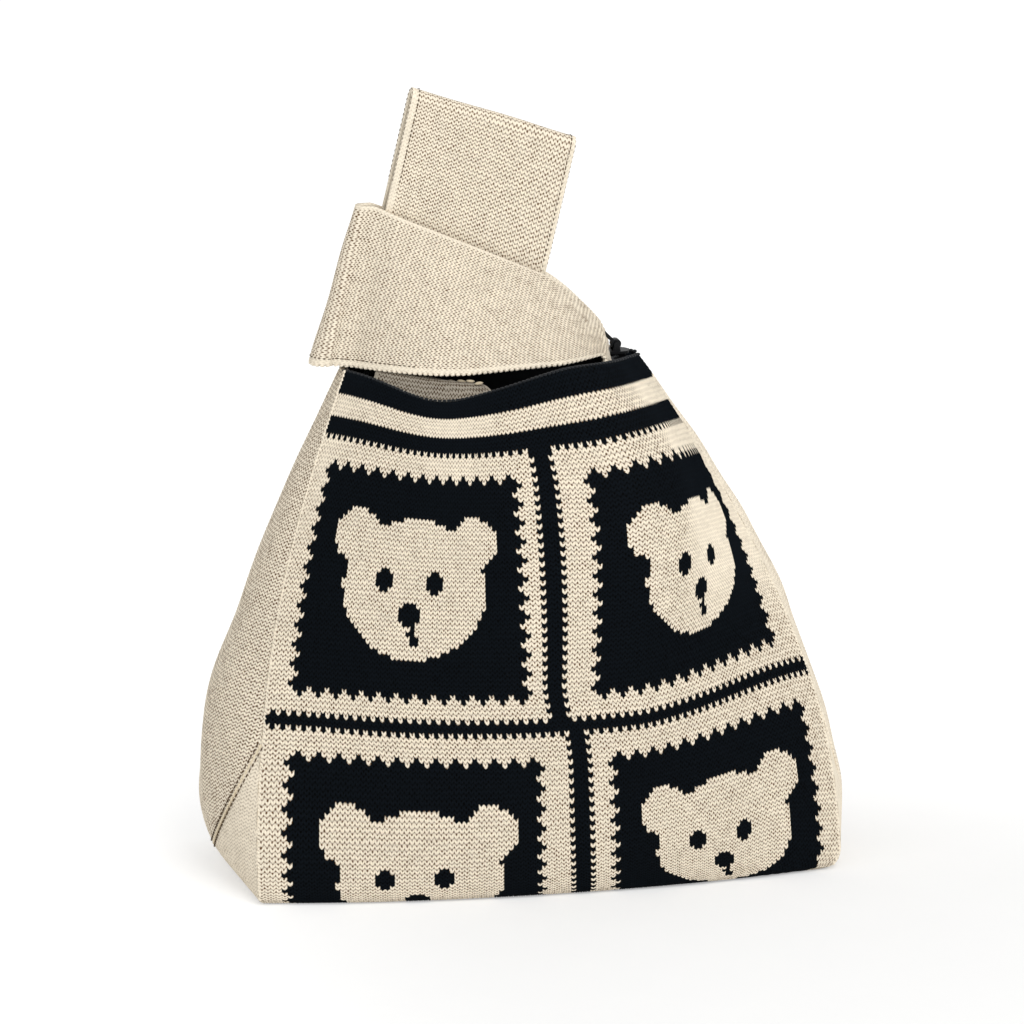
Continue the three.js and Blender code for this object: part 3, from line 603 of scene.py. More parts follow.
def bear(column, row):
    """Cream stitches of a bear's head, counted from the middle of its window."""
    cream = oval(column, row, *BEAR_HEAD) | oval(np.abs(column - BEAR_EAR_MIDDLE), row, *BEAR_EAR)
    dark = oval(np.abs(column - BEAR_EYE_MIDDLE), row, *BEAR_EYE) | oval(column, row, *BEAR_NOSE)
    for place, first, last in BEAR_MOUTH:
        dark |= (column == place) & (row >= first) & (row <= last)
    return cream & ~dark


def chart(column, row):
    """1 where the chart has a cream stitch, 0 where it has a dark one."""
    lower = row > RAIL_ROW
    post = np.where(lower, LOWER_POST, UPPER_POST)
    right_window = np.where(lower, LOWER_RIGHT_WINDOW, UPPER_RIGHT_WINDOW)
    top = np.where(lower, LOWER_WINDOW_ROW, UPPER_WINDOW_ROW)
    cream = np.ones(np.broadcast(column, row).shape, bool)
    tooth = np.array(TOOTH)
    for left in (np.full(cream.shape, LEFT_MARGIN), right_window):
        c, r = column - left, row - top
        inside = (c >= 0) & (c < WINDOW) & (r >= 0) & (r < WINDOW_ROWS)
        edge_r = np.minimum(r, WINDOW_ROWS - 1 - r)
        edge_c = np.minimum(c, WINDOW - 1 - c)
        teeth = (edge_r < tooth[c % len(TOOTH)]) | (edge_c < tooth[r % len(TOOTH)])
        cream &= ~inside | teeth | bear(c - (WINDOW - 1) / 2, r - (WINDOW_ROWS - 1) / 2)
    odd_row, odd_column = row % 2 == 1, column % 2 == 1
    dark_post = (column >= post) & (column < post + POST_WIDTH)
    post_edge = ((column == post - 1) | (column == post + POST_WIDTH)) & odd_row
    dark_rail = (row >= RAIL_ROW) & (row < RAIL_ROW + RAIL_HEIGHT)
    rail_edge = ((row == RAIL_ROW - 1) | (row == RAIL_ROW + RAIL_HEIGHT)) & odd_column
    below_hem = row >= HEM_STRIPES
    cream &= ~((dark_post | post_edge) & below_hem) & ~dark_rail & ~rail_edge
    hem_dark = (row < HEM_DARK) | ((row >= HEM_CREAM) & (row < HEM_STRIPES))
    hem_edge = (row == HEM_STRIPES) & odd_column
    return (cream & ~hem_dark & ~hem_edge).astype(float)


def cross_normals(grid):
    """Unit normals of a grid of points."""
    down = np.gradient(grid, axis=0)
    across = np.gradient(grid, axis=1)
    normal = np.cross(across, down)
    length = np.linalg.norm(normal, axis=-1, keepdims=True)
    return normal / np.where(length > SMALLEST, length, 1)


def mesh_piece(name, points, faces, material):
    """A new object from points in millimetres and faces."""
    mesh = bpy.data.meshes.new(name)
    mesh.from_pydata((np.asarray(points) * MM).tolist(), [], faces)
    mesh.validate()
    mesh.update()
    mesh.polygons.foreach_set("use_smooth", [True] * len(mesh.polygons))
    piece = bpy.data.objects.new(name, mesh)
    bpy.context.scene.collection.objects.link(piece)
    if material:
        mesh.materials.append(material)
    return piece


def stitch_grid(rows, columns, shown=1.0):
    """Leg and row numbers at a grid's corners, and how much the gaps between its stitches show."""
    row = zigzag(rows, columns)
    leg = np.arange(2 * columns + 1.0)
    return np.stack([np.broadcast_to(leg, row.shape), row, np.broadcast_to(shown, row.shape)], -1)


def knit_piece(name, outside, inside, facing, material, yarn=None, kept=None, relief=RELIEF, groove=GROOVE,
               plain_from=None, double=False, inside_yarn=None, stitch=None):
    """A closed sheet of knit. Rows of outside and inside hold two legs a stitch; facing is the way out.
    Every leg is a crown between its four corners, and double gives the inside legs as well."""
    rows, legs = outside.shape[0] - 1, outside.shape[1] - 1
    kept = np.ones((rows, legs // 2), bool) if kept is None else kept
    yarn = np.ones((rows, legs // 2)) if yarn is None else yarn
    inside_yarn = yarn if inside_yarn is None else inside_yarn
    plain_from = rows if plain_from is None else plain_from
    stitch = stitch_grid(rows, legs // 2) if stitch is None else stitch
    points, numbers, faces, tones = [], [], [], []
    outer_index = np.full((rows + 1, legs + 1), -1)
    inner_index = np.full((rows + 1, legs + 1), -1)
    needed = np.zeros((rows + 1, legs + 1), bool)
    wide = np.repeat(kept, 2, axis=1)
    for di in (0, 1):
        for dj in (0, 1):
            needed[di:rows + di, dj:legs + dj] |= wide
    count = int(needed.sum())
    outer_index[needed] = np.arange(count)
    points.append((outside - facing * groove)[needed])
    numbers.append(stitch[needed])
    inner_needed = needed.copy()
    if not double:
        inner_needed[:, 1::2] = False
    inner_count = int(inner_needed.sum())
    inner_index[inner_needed] = count + np.arange(inner_count)
    inward = facing * groove if double else 0
    points.append((inside + inward)[inner_needed])
    numbers.append(stitch[inner_needed])
    total = count + inner_count

    def crowned(index, grid, way, flip, only):
        nonlocal total
        i, j = np.nonzero(only)
        corner = [index[i, j], index[i, j + 1], index[i + 1, j + 1], index[i + 1, j]]
        middle = (grid[i, j] + grid[i, j + 1] + grid[i + 1, j + 1] + grid[i + 1, j]) / 4
        points.append(middle + way[i, j] * relief)
        numbers.append((stitch[i, j] + stitch[i, j + 1] + stitch[i + 1, j + 1] + stitch[i + 1, j]) / 4)
        peak = total + np.arange(len(i))
        total += len(i)
        tone = yarn[i, j // 2]
        for a, b in ((0, 1), (1, 2), (2, 3), (3, 0)):
            ends = (corner[b], corner[a]) if flip else (corner[a], corner[b])
            faces.extend(np.stack([*ends, peak], 1).tolist())
            tones.append(tone)

    row_of = np.arange(rows)[:, None]
    crowned(outer_index, outside, facing, True, wide & (row_of < plain_from))
    i, j = np.nonzero(wide & (row_of >= plain_from))
    quad = [outer_index[i, j], outer_index[i + 1, j], outer_index[i + 1, j + 1], outer_index[i, j + 1]]
    faces.extend(np.stack(quad, 1).tolist())
    tones.append(yarn[i, j // 2])
    if double:
        crowned(inner_index, inside, -facing, False, wide)
    else:
        i, c = np.nonzero(kept)
        j = 2 * c
        quad = [inner_index[i, j], inner_index[i, j + 2], inner_index[i + 1, j + 2], inner_index[i + 1, j]]
        faces.extend(np.stack(quad, 1).tolist())
        tones.append(inside_yarn[i, c])
    # Walls along every open edge.
    padded = np.pad(kept, 1)
    for i, c in zip(*np.nonzero(kept)):
        j = 2 * c
        top = [(i, j), (i, j + 1), (i, j + 2)]
        bottom = [(i + 1, j + 2), (i + 1, j + 1), (i + 1, j)]
        left = [(i + 1, j), (i, j)]
        right = [(i, j + 2), (i + 1, j + 2)]
        beside = (padded[i, c + 1], padded[i + 2, c + 1], padded[i + 1, c], padded[i + 1, c + 2])
        for closed, edge in zip(beside, (top, bottom, left, right)):
            if not closed:
                outer = [int(outer_index[place]) for place in edge]
                inner = [int(inner_index[place]) for place in edge[::-1] if inner_index[place] >= 0]
                faces.append(outer + inner)
                tones.append(yarn[i:i + 1, c])
    # The rows run down the outside; where they run the other way round, the faces turn.
    middle = facing[rows // 2, legs // 2]
    down = outside[rows // 2 + 1, legs // 2] - outside[rows // 2, legs // 2]
    across_way = outside[rows // 2, legs // 2 + 1] - outside[rows // 2, legs // 2 - 1]
    if np.dot(np.cross(down, across_way), middle) < 0:
        faces = [face[::-1] for face in faces]
    piece = mesh_piece(name, np.concatenate(points), faces, material)
    numbered = piece.data.attributes.new("stitch", "FLOAT_VECTOR", "POINT")
    numbered.data.foreach_set("vector", np.concatenate(numbers).ravel())
    toned = piece.data.attributes.new("yarn", "FLOAT", "FACE")
    toned.data.foreach_set("value", np.concatenate(tones))
    return piece


def add_node(tree, kind, settings=None, inputs=None):
    """Adds a node, with its settings and with a value or a link for each named or numbered input. A node that
    is given as an input links by its first output."""
    node = tree.nodes.new(kind)
    for name, value in (settings or {}).items():
        setattr(node, name, value)
    for name, value in (inputs or {}).items():
        if isinstance(value, bpy.types.Node):
            value = value.outputs[0]
        if isinstance(value, bpy.types.NodeSocket):
            tree.links.new(value, node.inputs[name])
        else:
            node.inputs[name].default_value = value
    return node


def cells(size):
    """A noise texture's scale, from the size of its pattern in millimetres."""
    return 1 / (size * MM)


def new_material(name):
    """An empty material and its tree."""
    material = bpy.data.materials.new(name)
    material.use_nodes = True
    material.node_tree.nodes.clear()
    return material, material.node_tree


def knit_material(name, settings):
    """Knitted cotton: matt legs of yarn with shaded gaps where they meet, fine fibres and a little fuzz."""
    if name in bpy.data.materials:
        return bpy.data.materials[name]
    material, tree = new_material(name)
    place = add_node(tree, "ShaderNodeTexCoord")
    stitch = add_node(tree, "ShaderNodeAttribute", {"attribute_name": "stitch"})
    yarn = add_node(tree, "ShaderNodeAttribute", {"attribute_name": "yarn"})
    # Hand-fed yarn never lies quite even: stitches stray from their places over about 4 mm.
    stray = add_node(tree, "ShaderNodeTexNoise", None,
                     {"Vector": place.outputs["Object"], "Scale": cells(STRAY_SIZE), "Detail": 2.0})
    about = add_node(tree, "ShaderNodeVectorMath", {"operation": "SUBTRACT"},
                     {0: stray.outputs["Color"], 1: (0.5, 0.5, 0.5)})
    strayed = add_node(tree, "ShaderNodeVectorMath", {"operation": "MULTIPLY_ADD"},
                       {0: about, 1: STRAY, 2: stitch.outputs["Vector"]})
    number = add_node(tree, "ShaderNodeSeparateXYZ", None, {0: strayed})
    # A gap lies at every leg's corner: on stitch borders half a leg's rise above those in the middles.
    turn = add_node(tree, "ShaderNodeMath", {"operation": "PINGPONG"}, {0: number.outputs["X"], 1: 1.0})
    odd = add_node(tree, "ShaderNodeMath", {"operation": "GREATER_THAN"}, {0: turn, 1: 0.5})
    lifted = add_node(tree, "ShaderNodeMath", {"operation": "ADD"},
                      {0: number.outputs["Y"], 1: LEG_SLANT / 2})
    row = add_node(tree, "ShaderNodeMath", {"operation": "MULTIPLY_ADD"},
                   {0: odd, 1: 1 - LEG_SLANT, 2: lifted})
    across = add_node(tree, "ShaderNodeMath", {"operation": "PINGPONG"}, {0: number.outputs["X"], 1: 0.5})
    down = add_node(tree, "ShaderNodeMath", {"operation": "PINGPONG"}, {0: row, 1: 0.5})
    aside = add_node(tree, "ShaderNodeCombineXYZ", None, {"X": across, "Y": down})
    sized = add_node(tree, "ShaderNodeVectorMath", {"operation": "MULTIPLY"},
                     {0: aside, 1: (GAP_STRETCH[0] * LEG_WIDTH, GAP_STRETCH[1] * ROW_HEIGHT, 0)})
    away = add_node(tree, "ShaderNodeVectorMath", {"operation": "LENGTH"}, {0: sized})
    # No two gaps are alike: their size drifts from stitch to stitch, about every 2 mm.
    uneven = add_node(tree, "ShaderNodeTexNoise", None,
                      {"Vector": place.outputs["Object"], "Scale": cells(UNEVEN_SIZE), "Detail": 1.0})
    reach = add_node(tree, "ShaderNodeMath", {"operation": "MULTIPLY_ADD"},
                     {0: uneven.outputs["Fac"], 1: -GAP_UNEVEN, 2: away.outputs["Value"]})
    gap = add_node(tree, "ShaderNodeMapRange", {"interpolation_type": "SMOOTHSTEP"}, {
        "Value": reach, "From Min": GAP_EDGE[0], "From Max": GAP_EDGE[1], "To Min": 1.0, "To Max": 0.0})
    # Thinner lines part each leg from those above and below it, and from the one beside it.
    level = add_node(tree, "ShaderNodeMath", {"operation": "MULTIPLY_ADD"},
                     {0: turn, 1: -LEG_SLANT, 2: lifted})
    between = add_node(tree, "ShaderNodeMath", {"operation": "PINGPONG"}, {0: level, 1: 0.5})
    line = add_node(tree, "ShaderNodeMapRange", None, {
        "Value": between, "From Min": LINE_EDGE[0], "From Max": LINE_EDGE[1],
        "To Min": LINE_DEPTH, "To Max": 0.0})
    side = add_node(tree, "ShaderNodeMapRange", None, {
        "Value": across, "From Min": SIDE_EDGE[0], "From Max": SIDE_EDGE[1],
        "To Min": SIDE_DEPTH, "To Max": 0.0})
    lines = add_node(tree, "ShaderNodeMath", {"operation": "MAXIMUM"}, {0: line, 1: side})
    parted = add_node(tree, "ShaderNodeMath", {"operation": "MAXIMUM"}, {0: gap, 1: lines})
    shown = add_node(tree, "ShaderNodeMath", {"operation": "MULTIPLY"},
                     {0: parted, 1: number.outputs["Z"]})
    # Slub: the yarn's colour drifts over about 6 mm; fibres are drawn at 0.5 mm, coarser than real, to show.
    slub = add_node(tree, "ShaderNodeTexNoise", None,
                    {"Vector": place.outputs["Object"], "Scale": cells(SLUB_SIZE), "Detail": 3.0})
    fibre = add_node(tree, "ShaderNodeTexNoise", None,
                     {"Vector": place.outputs["Object"], "Scale": cells(FIBRE_SIZE), "Detail": 2.0})
    # Gaps and lines take the groove colours: painted shade between the legs.
    pale = add_node(tree, "ShaderNodeMix", {"data_type": "RGBA"},
                    {0: shown, 6: settings.cream_yarn, 7: settings.cream_gap_shade})
    black = add_node(tree, "ShaderNodeMix", {"data_type": "RGBA"},
                     {0: shown, 6: settings.dark_yarn, 7: settings.dark_gap_shade})
    two = add_node(tree, "ShaderNodeMix", {"data_type": "RGBA"},
                   {0: yarn.outputs["Fac"], 6: black.outputs[2], 7: pale.outputs[2]})
    drift = add_node(tree, "ShaderNodeMapRange", None,
                     {"Value": slub.outputs["Fac"], "To Min": 0.88, "To Max": 1.1})
    tinted = add_node(tree, "ShaderNodeMix", {"data_type": "RGBA", "blend_type": "MULTIPLY"},
                      {0: 1.0, 6: two.outputs[2], 7: drift})
    height = add_node(tree, "ShaderNodeMath", {"operation": "MULTIPLY_ADD"},
                      {0: shown, 1: -2.0, 2: fibre.outputs["Fac"]})
    bump = add_node(tree, "ShaderNodeBump", None,
                    {"Height": height, "Strength": 0.35, "Distance": FIBRE_HEIGHT * MM})
    shader = add_node(tree, "ShaderNodeBsdfPrincipled", None, {
        "Base Color": tinted.outputs[2], "Roughness": 0.92, "Sheen Weight": 0.01, "Sheen Roughness": 0.5,
        "Specular IOR Level": 0.05, "Normal": bump.outputs["Normal"]})
    add_node(tree, "ShaderNodeOutputMaterial", None, {"Surface": shader.outputs["BSDF"]})
    return material


def yarn_material(name, colour, roughness=0.85):
    """Twisted yarn: matt, with a slight change of shade along it."""
    if name in bpy.data.materials:
        return bpy.data.materials[name]
    material, tree = new_material(name)
    place = add_node(tree, "ShaderNodeTexCoord")
    # The twist is drawn at 1 mm, coarser than real, to show.
    twist = add_node(tree, "ShaderNodeTexNoise", None,
                     {"Vector": place.outputs["Object"], "Scale": cells(TWIST_SIZE), "Detail": 2.0})
    shade = add_node(tree, "ShaderNodeMapRange", None,
                     {"Value": twist.outputs["Fac"], "To Min": 0.8, "To Max": 1.15})
    tinted = add_node(tree, "ShaderNodeMix", {"data_type": "RGBA", "blend_type": "MULTIPLY"},
                      {0: 1.0, 6: colour, 7: shade})
    bump = add_node(tree, "ShaderNodeBump", None,
                    {"Height": twist.outputs["Fac"], "Strength": 0.3, "Distance": FIBRE_HEIGHT * MM})
    shader = add_node(tree, "ShaderNodeBsdfPrincipled", None, {
        "Base Color": tinted.outputs[2], "Roughness": roughness, "Sheen Weight": 0.1,
        "Specular IOR Level": 0.3, "Normal": bump.outputs["Normal"]})
    add_node(tree, "ShaderNodeOutputMaterial", None, {"Surface": shader.outputs["BSDF"]})
    return material


def enamel_material(name, colour):
    """Black enamel on die-cast zinc: a smooth glossy coat with faint handling marks."""
    if name in bpy.data.materials:
        return bpy.data.materials[name]
    material, tree = new_material(name)
    place = add_node(tree, "ShaderNodeTexCoord")
    marks = add_node(tree, "ShaderNodeTexNoise", None,
                     {"Vector": place.outputs["Object"], "Scale": cells(MARK_SIZE), "Detail": 4.0})
    gloss = add_node(tree, "ShaderNodeMapRange", None,
                     {"Value": marks.outputs["Fac"], "To Min": 0.34, "To Max": 0.5})
    shade = add_node(tree, "ShaderNodeMapRange", None,
                     {"Value": marks.outputs["Fac"], "To Min": 0.8, "To Max": 1.3})
    tinted = add_node(tree, "ShaderNodeMix", {"data_type": "RGBA", "blend_type": "MULTIPLY"},
                      {0: 1.0, 6: colour, 7: shade})
    shader = add_node(tree, "ShaderNodeBsdfPrincipled", None, {
        "Base Color": tinted.outputs[2], "Roughness": gloss, "Specular IOR Level": 0.16})
    add_node(tree, "ShaderNodeOutputMaterial", None, {"Surface": shader.outputs["BSDF"]})
    return material


def stitch_tree():
    """Geometry Nodes: equal stitches along a path, each a flattened bead at a slant to it."""
    name = "stitch_row"
    if name in bpy.data.node_groups:
        return bpy.data.node_groups[name]
    tree = bpy.data.node_groups.new(name, "GeometryNodeTree")
    tree.interface.new_socket(name="Geometry", in_out="INPUT", socket_type="NodeSocketGeometry")
    for label in ("Spacing", "Length", "Width", "Height"):
        socket = tree.interface.new_socket(name=label, in_out="INPUT", socket_type="NodeSocketFloat")
        socket.subtype = "DISTANCE"
        socket.default_value = 0.002
    slant = tree.interface.new_socket(name="Slant", in_out="INPUT", socket_type="NodeSocketFloat")
    slant.subtype = "ANGLE"
    tree.interface.new_socket(name="Material", in_out="INPUT", socket_type="NodeSocketMaterial")
    tree.interface.new_socket(name="Geometry", in_out="OUTPUT", socket_type="NodeSocketGeometry")
    given = add_node(tree, "NodeGroupInput").outputs
    path = add_node(tree, "GeometryNodeMeshToCurve", None, {"Mesh": given["Geometry"]})
    places = add_node(tree, "GeometryNodeResampleCurve", {"mode": "LENGTH"},
                      {"Curve": path.outputs["Curve"], "Length": given["Spacing"]})
    along = add_node(tree, "GeometryNodeInputTangent")
    outward = add_node(tree, "GeometryNodeInputNamedAttribute", {"data_type": "FLOAT_VECTOR"},
                       {"Name": "outward"})
    lie = add_node(tree, "FunctionNodeAlignRotationToVector", {"axis": "X"},
                   {"Vector": along.outputs["Tangent"]})
    face = add_node(tree, "FunctionNodeAlignRotationToVector", {"axis": "Z", "pivot_axis": "X"},
                    {"Rotation": lie.outputs["Rotation"], "Vector": outward.outputs["Attribute"]})
    angle = add_node(tree, "ShaderNodeCombineXYZ", None, {"Z": given["Slant"]})
    lean = add_node(tree, "FunctionNodeEulerToRotation", None, {"Euler": angle.outputs["Vector"]})
    turned = add_node(tree, "FunctionNodeRotateRotation", {"rotation_space": "LOCAL"},
                      {"Rotation": face.outputs["Rotation"], "Rotate By": lean.outputs["Rotation"]})
    size = add_node(tree, "ShaderNodeCombineXYZ", None,
                    {"X": given["Length"], "Y": given["Width"], "Z": given["Height"]})
    bead = add_node(tree, "GeometryNodeMeshUVSphere", None, {"Segments": 6, "Rings": 4, "Radius": 0.5})
    rounded = add_node(tree, "GeometryNodeSetShadeSmooth", None, {"Geometry": bead.outputs["Mesh"]})
    placed = add_node(tree, "GeometryNodeInstanceOnPoints", None, {
        "Points": places.outputs["Curve"], "Instance": rounded.outputs["Geometry"],
        "Rotation": turned.outputs["Rotation"], "Scale": size.outputs["Vector"]})
    real = add_node(tree, "GeometryNodeRealizeInstances", None, {"Geometry": placed.outputs["Instances"]})
    dressed = add_node(tree, "GeometryNodeSetMaterial", None,
                       {"Geometry": real.outputs["Geometry"], "Material": given["Material"]})
    add_node(tree, "NodeGroupOutput", None, {"Geometry": dressed.outputs["Geometry"]})
    return tree


def bead(spacing, length, width, height, slant=0.0):
    """Sizes of the stitches in a row, given in millimetres and radians."""
    return {"Spacing": spacing * MM, "Length": length * MM, "Width": width * MM, "Height": height * MM,
            "Slant": slant}


RIDGE_STITCH = bead(1.7, 2.6, 1.5, 1.3, math.radians(28))
SEAM_CORD = bead(2.6, 3.4, 1.5, 1.2, math.radians(14))
SEAM_DASH = bead(2.8, 2.4, 0.7, 0.9, math.radians(9))
HEM_CHAIN = bead(2.0, 2.4, 2.4, 1.4, math.radians(12))
EDGE_THREAD = bead(2.3, 1.4, 0.6, 0.5)
SELVEDGE_LOOP = bead(2.4, 2.7, 2.2, 2.6, 0.2)
COIL_TURN = bead(1.4, 1.1, 1.7, 1.6, math.radians(8))
MOUTH_SELVEDGE = bead(4.2, 4.2, 1.7, 1.4, 0.6)


def stitch_row(name, paths, sizes, material):
    """A piece of stitches along paths. Each path is a pair of lists: points and the ways out of the cloth."""
    points, edges, ways = [], [], []
    for route, outward in paths:
        first = len(points)
        points.extend(route)
        ways.extend(outward)
        edges.extend((k, k + 1) for k in range(first, len(points) - 1))
    mesh = bpy.data.meshes.new(name)
    mesh.from_pydata((np.array(points) * MM).tolist(), edges, [])
    faced = mesh.attributes.new("outward", "FLOAT_VECTOR", "POINT")
    faced.data.foreach_set("vector", np.array(ways).ravel())
    piece = bpy.data.objects.new(name, mesh)
    bpy.context.scene.collection.objects.link(piece)
    modifier = piece.modifiers.new("stitches", "NODES")
    tree = stitch_tree()
    modifier.node_group = tree
    values = dict(sizes, Material=material)
    for socket in tree.interface.items_tree:
        if socket.in_out == "INPUT" and socket.name in values:
            modifier[socket.identifier] = values[socket.name]
    piece.update_tag()
    ready = piece.evaluated_get(bpy.context.evaluated_depsgraph_get())
    made = bpy.data.meshes.new_from_object(ready)
    if len(made.polygons) == 0:
        raise RuntimeError(f"{name} has no stitches")
    piece.modifiers.clear()
    piece.data = made
    made.name = name
    bpy.data.meshes.remove(mesh)
    if "outward" in made.attributes:
        made.attributes.remove(made.attributes["outward"])
    return piece


def settle(piece, slot, *nodes, body="bag"):
    """Puts a finished piece on its body in place of its solids."""
    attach(piece, body)
    if nodes:
        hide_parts(*nodes)


def sew(name, paths, sizes, material, slot, *nodes, body="bag"):
    """A row of stitches, put on its body in place of its solids."""
    settle(stitch_row(name, paths, sizes, material), slot, *nodes, body=body)


def half_columns(columns):
    """Numbers of a grid's columns, two for each stitch."""
    return np.arange(2 * columns + 1) / 2


def zigzag(rows, columns):
    """Row numbers of a grid whose stitch borders lie higher than the stitch middles, apart from both ends."""
    grid = np.repeat(np.arange(rows + 1.0)[:, None], 2 * columns + 1, axis=1)
    grid[1:-1, ::2] -= LEG_SLANT / 2
    grid[1:-1, 1::2] += LEG_SLANT / 2
    return np.clip(grid, 0, rows)


def seen_directly(tree):
    """1 for what the camera sees, also reflected or through glass, and 0 for light that falls on the bag."""
    rays = add_node(tree, "ShaderNodeLightPath").outputs
    seen = add_node(tree, "ShaderNodeMath", {"operation": "MAXIMUM"},
                    {0: rays["Is Camera Ray"], 1: rays["Is Glossy Ray"]})
    return add_node(tree, "ShaderNodeMath", {"operation": "MAXIMUM"},
                    {0: seen, 1: rays["Is Transmission Ray"]})


def paper_material(name, colour):
    """Seamless studio paper: even and matt. For the camera it has a painted glow that keeps it white, least
    before the bag, where the bag's shadow shows on it.
    """
    material, tree = new_material(name)
    place = add_node(tree, "ShaderNodeTexCoord")
    grain = add_node(tree, "ShaderNodeTexNoise", None,
                     {"Vector": place.outputs["Object"], "Scale": cells(GRAIN_SIZE)})
    tone = add_node(tree, "ShaderNodeMapRange", None,
                    {"Value": grain.outputs["Fac"], "To Min": 0.99, "To Max": 1.01})
    tinted = add_node(tree, "ShaderNodeMix", {"data_type": "RGBA", "blend_type": "MULTIPLY"},
                      {0: 1.0, 6: colour, 7: tone})
    paper = add_node(tree, "ShaderNodeBsdfDiffuse", None, {"Color": tinted.outputs[2]})
    # For the camera the floor has a painted glow, stronger far off and least before the bag, so that its soft
    # shadow shows there.
    far = add_node(tree, "ShaderNodeVectorMath", {"operation": "DISTANCE"},
                   {0: place.outputs["Object"], 1: GLOW_CENTRE})
    lit = add_node(tree, "ShaderNodeMapRange", {"interpolation_type": "SMOOTHSTEP"}, {
        "Value": far.outputs["Value"], "From Min": GLOW_REACH[0], "From Max": GLOW_REACH[1],
        "To Min": GLOW_STRENGTH[0], "To Max": GLOW_STRENGTH[1]})
    glow = add_node(tree, "ShaderNodeEmission", None, {"Color": (1, 1, 1, 1), "Strength": lit})
    dim = add_node(tree, "ShaderNodeMix", {"data_type": "RGBA"},
                   {0: FLOOR_DIM, 6: tinted.outputs[2], 7: (0, 0, 0, 1)})
    sheet = add_node(tree, "ShaderNodeBsdfDiffuse", None, {"Color": dim.outputs[2]})
    both = add_node(tree, "ShaderNodeAddShader", None, {0: sheet, 1: glow})
    mixed = add_node(tree, "ShaderNodeMixShader", None, {0: seen_directly(tree), 1: paper, 2: both})
    add_node(tree, "ShaderNodeOutputMaterial", None, {"Surface": mixed})
    return material


def studio_sky(scene, strength):
    """An even sky that lights the bag by its strength, and that the camera sees white."""
    world = bpy.data.worlds.new("studio")
    scene.world = world
    world.use_nodes = True
    tree = world.node_tree
    tree.nodes.clear()
    level = add_node(tree, "ShaderNodeMapRange", None,
                     {"Value": seen_directly(tree), "To Min": strength, "To Max": 1.0})
    sky = add_node(tree, "ShaderNodeBackground", None, {"Color": (1, 1, 1, 1), "Strength": level})
    add_node(tree, "ShaderNodeOutputWorld", None, {"Surface": sky})


def aimed(name, data, place):
    """A lamp or a camera that points at the bag."""
    holder = bpy.data.objects.new(name, data)
    holder.location = place
    aim = Vector(AIM) - Vector(place)
    holder.rotation_euler = aim.to_track_quat("-Z", "Y").to_euler()
    bpy.context.scene.collection.objects.link(holder)
    return holder


class BuildStage(bpy.types.Operator):
    """Floor, lamps, sky and camera."""
    bl_idname = "knotbag.stage"
    bl_label = "Stage"

    def execute(self, context):
        scene = context.scene
        settings = scene.knotbag_stage
        scene.view_settings.view_transform = "Standard"
        reach = FLOOR_REACH / MM
        corners = [(-reach, -reach, 0), (reach, -reach, 0), (reach, reach, 0), (-reach, reach, 0)]
        paper = paper_material("matt white studio floor", settings.floor)
        floor = mesh_piece("floor", corners, [(0, 1, 2, 3)], paper)
        floor.location.z = -FLOOR_DROP
        studio_sky(scene, settings.sky)
        for name, place, size, power in (
                ("key", KEY_PLACE, KEY_SIZE, settings.key_power),
                ("fill", FILL_PLACE, FILL_SIZE, settings.key_power * FILL_SHARE)):
            lamp = bpy.data.lights.new(name, "AREA")
            lamp.size = size
            lamp.energy = power
            aimed(name, lamp, place)
        camera = bpy.data.cameras.new("camera")
        camera.lens = settings.lens
        camera.sensor_width = SENSOR_WIDTH
        camera.shift_x, camera.shift_y = CAMERA_SHIFT
        camera.clip_end = CAMERA_CLIP
        azimuth, elevation = math.radians(CAMERA_AZIMUTH), math.radians(CAMERA_ELEVATION)
        back = Vector((math.sin(azimuth) * math.cos(elevation), -math.cos(azimuth) * math.cos(elevation),
                       math.sin(elevation)))
        scene.camera = aimed("camera", camera, Vector(AIM) + CAMERA_DISTANCE * back)
        return {"FINISHED"}


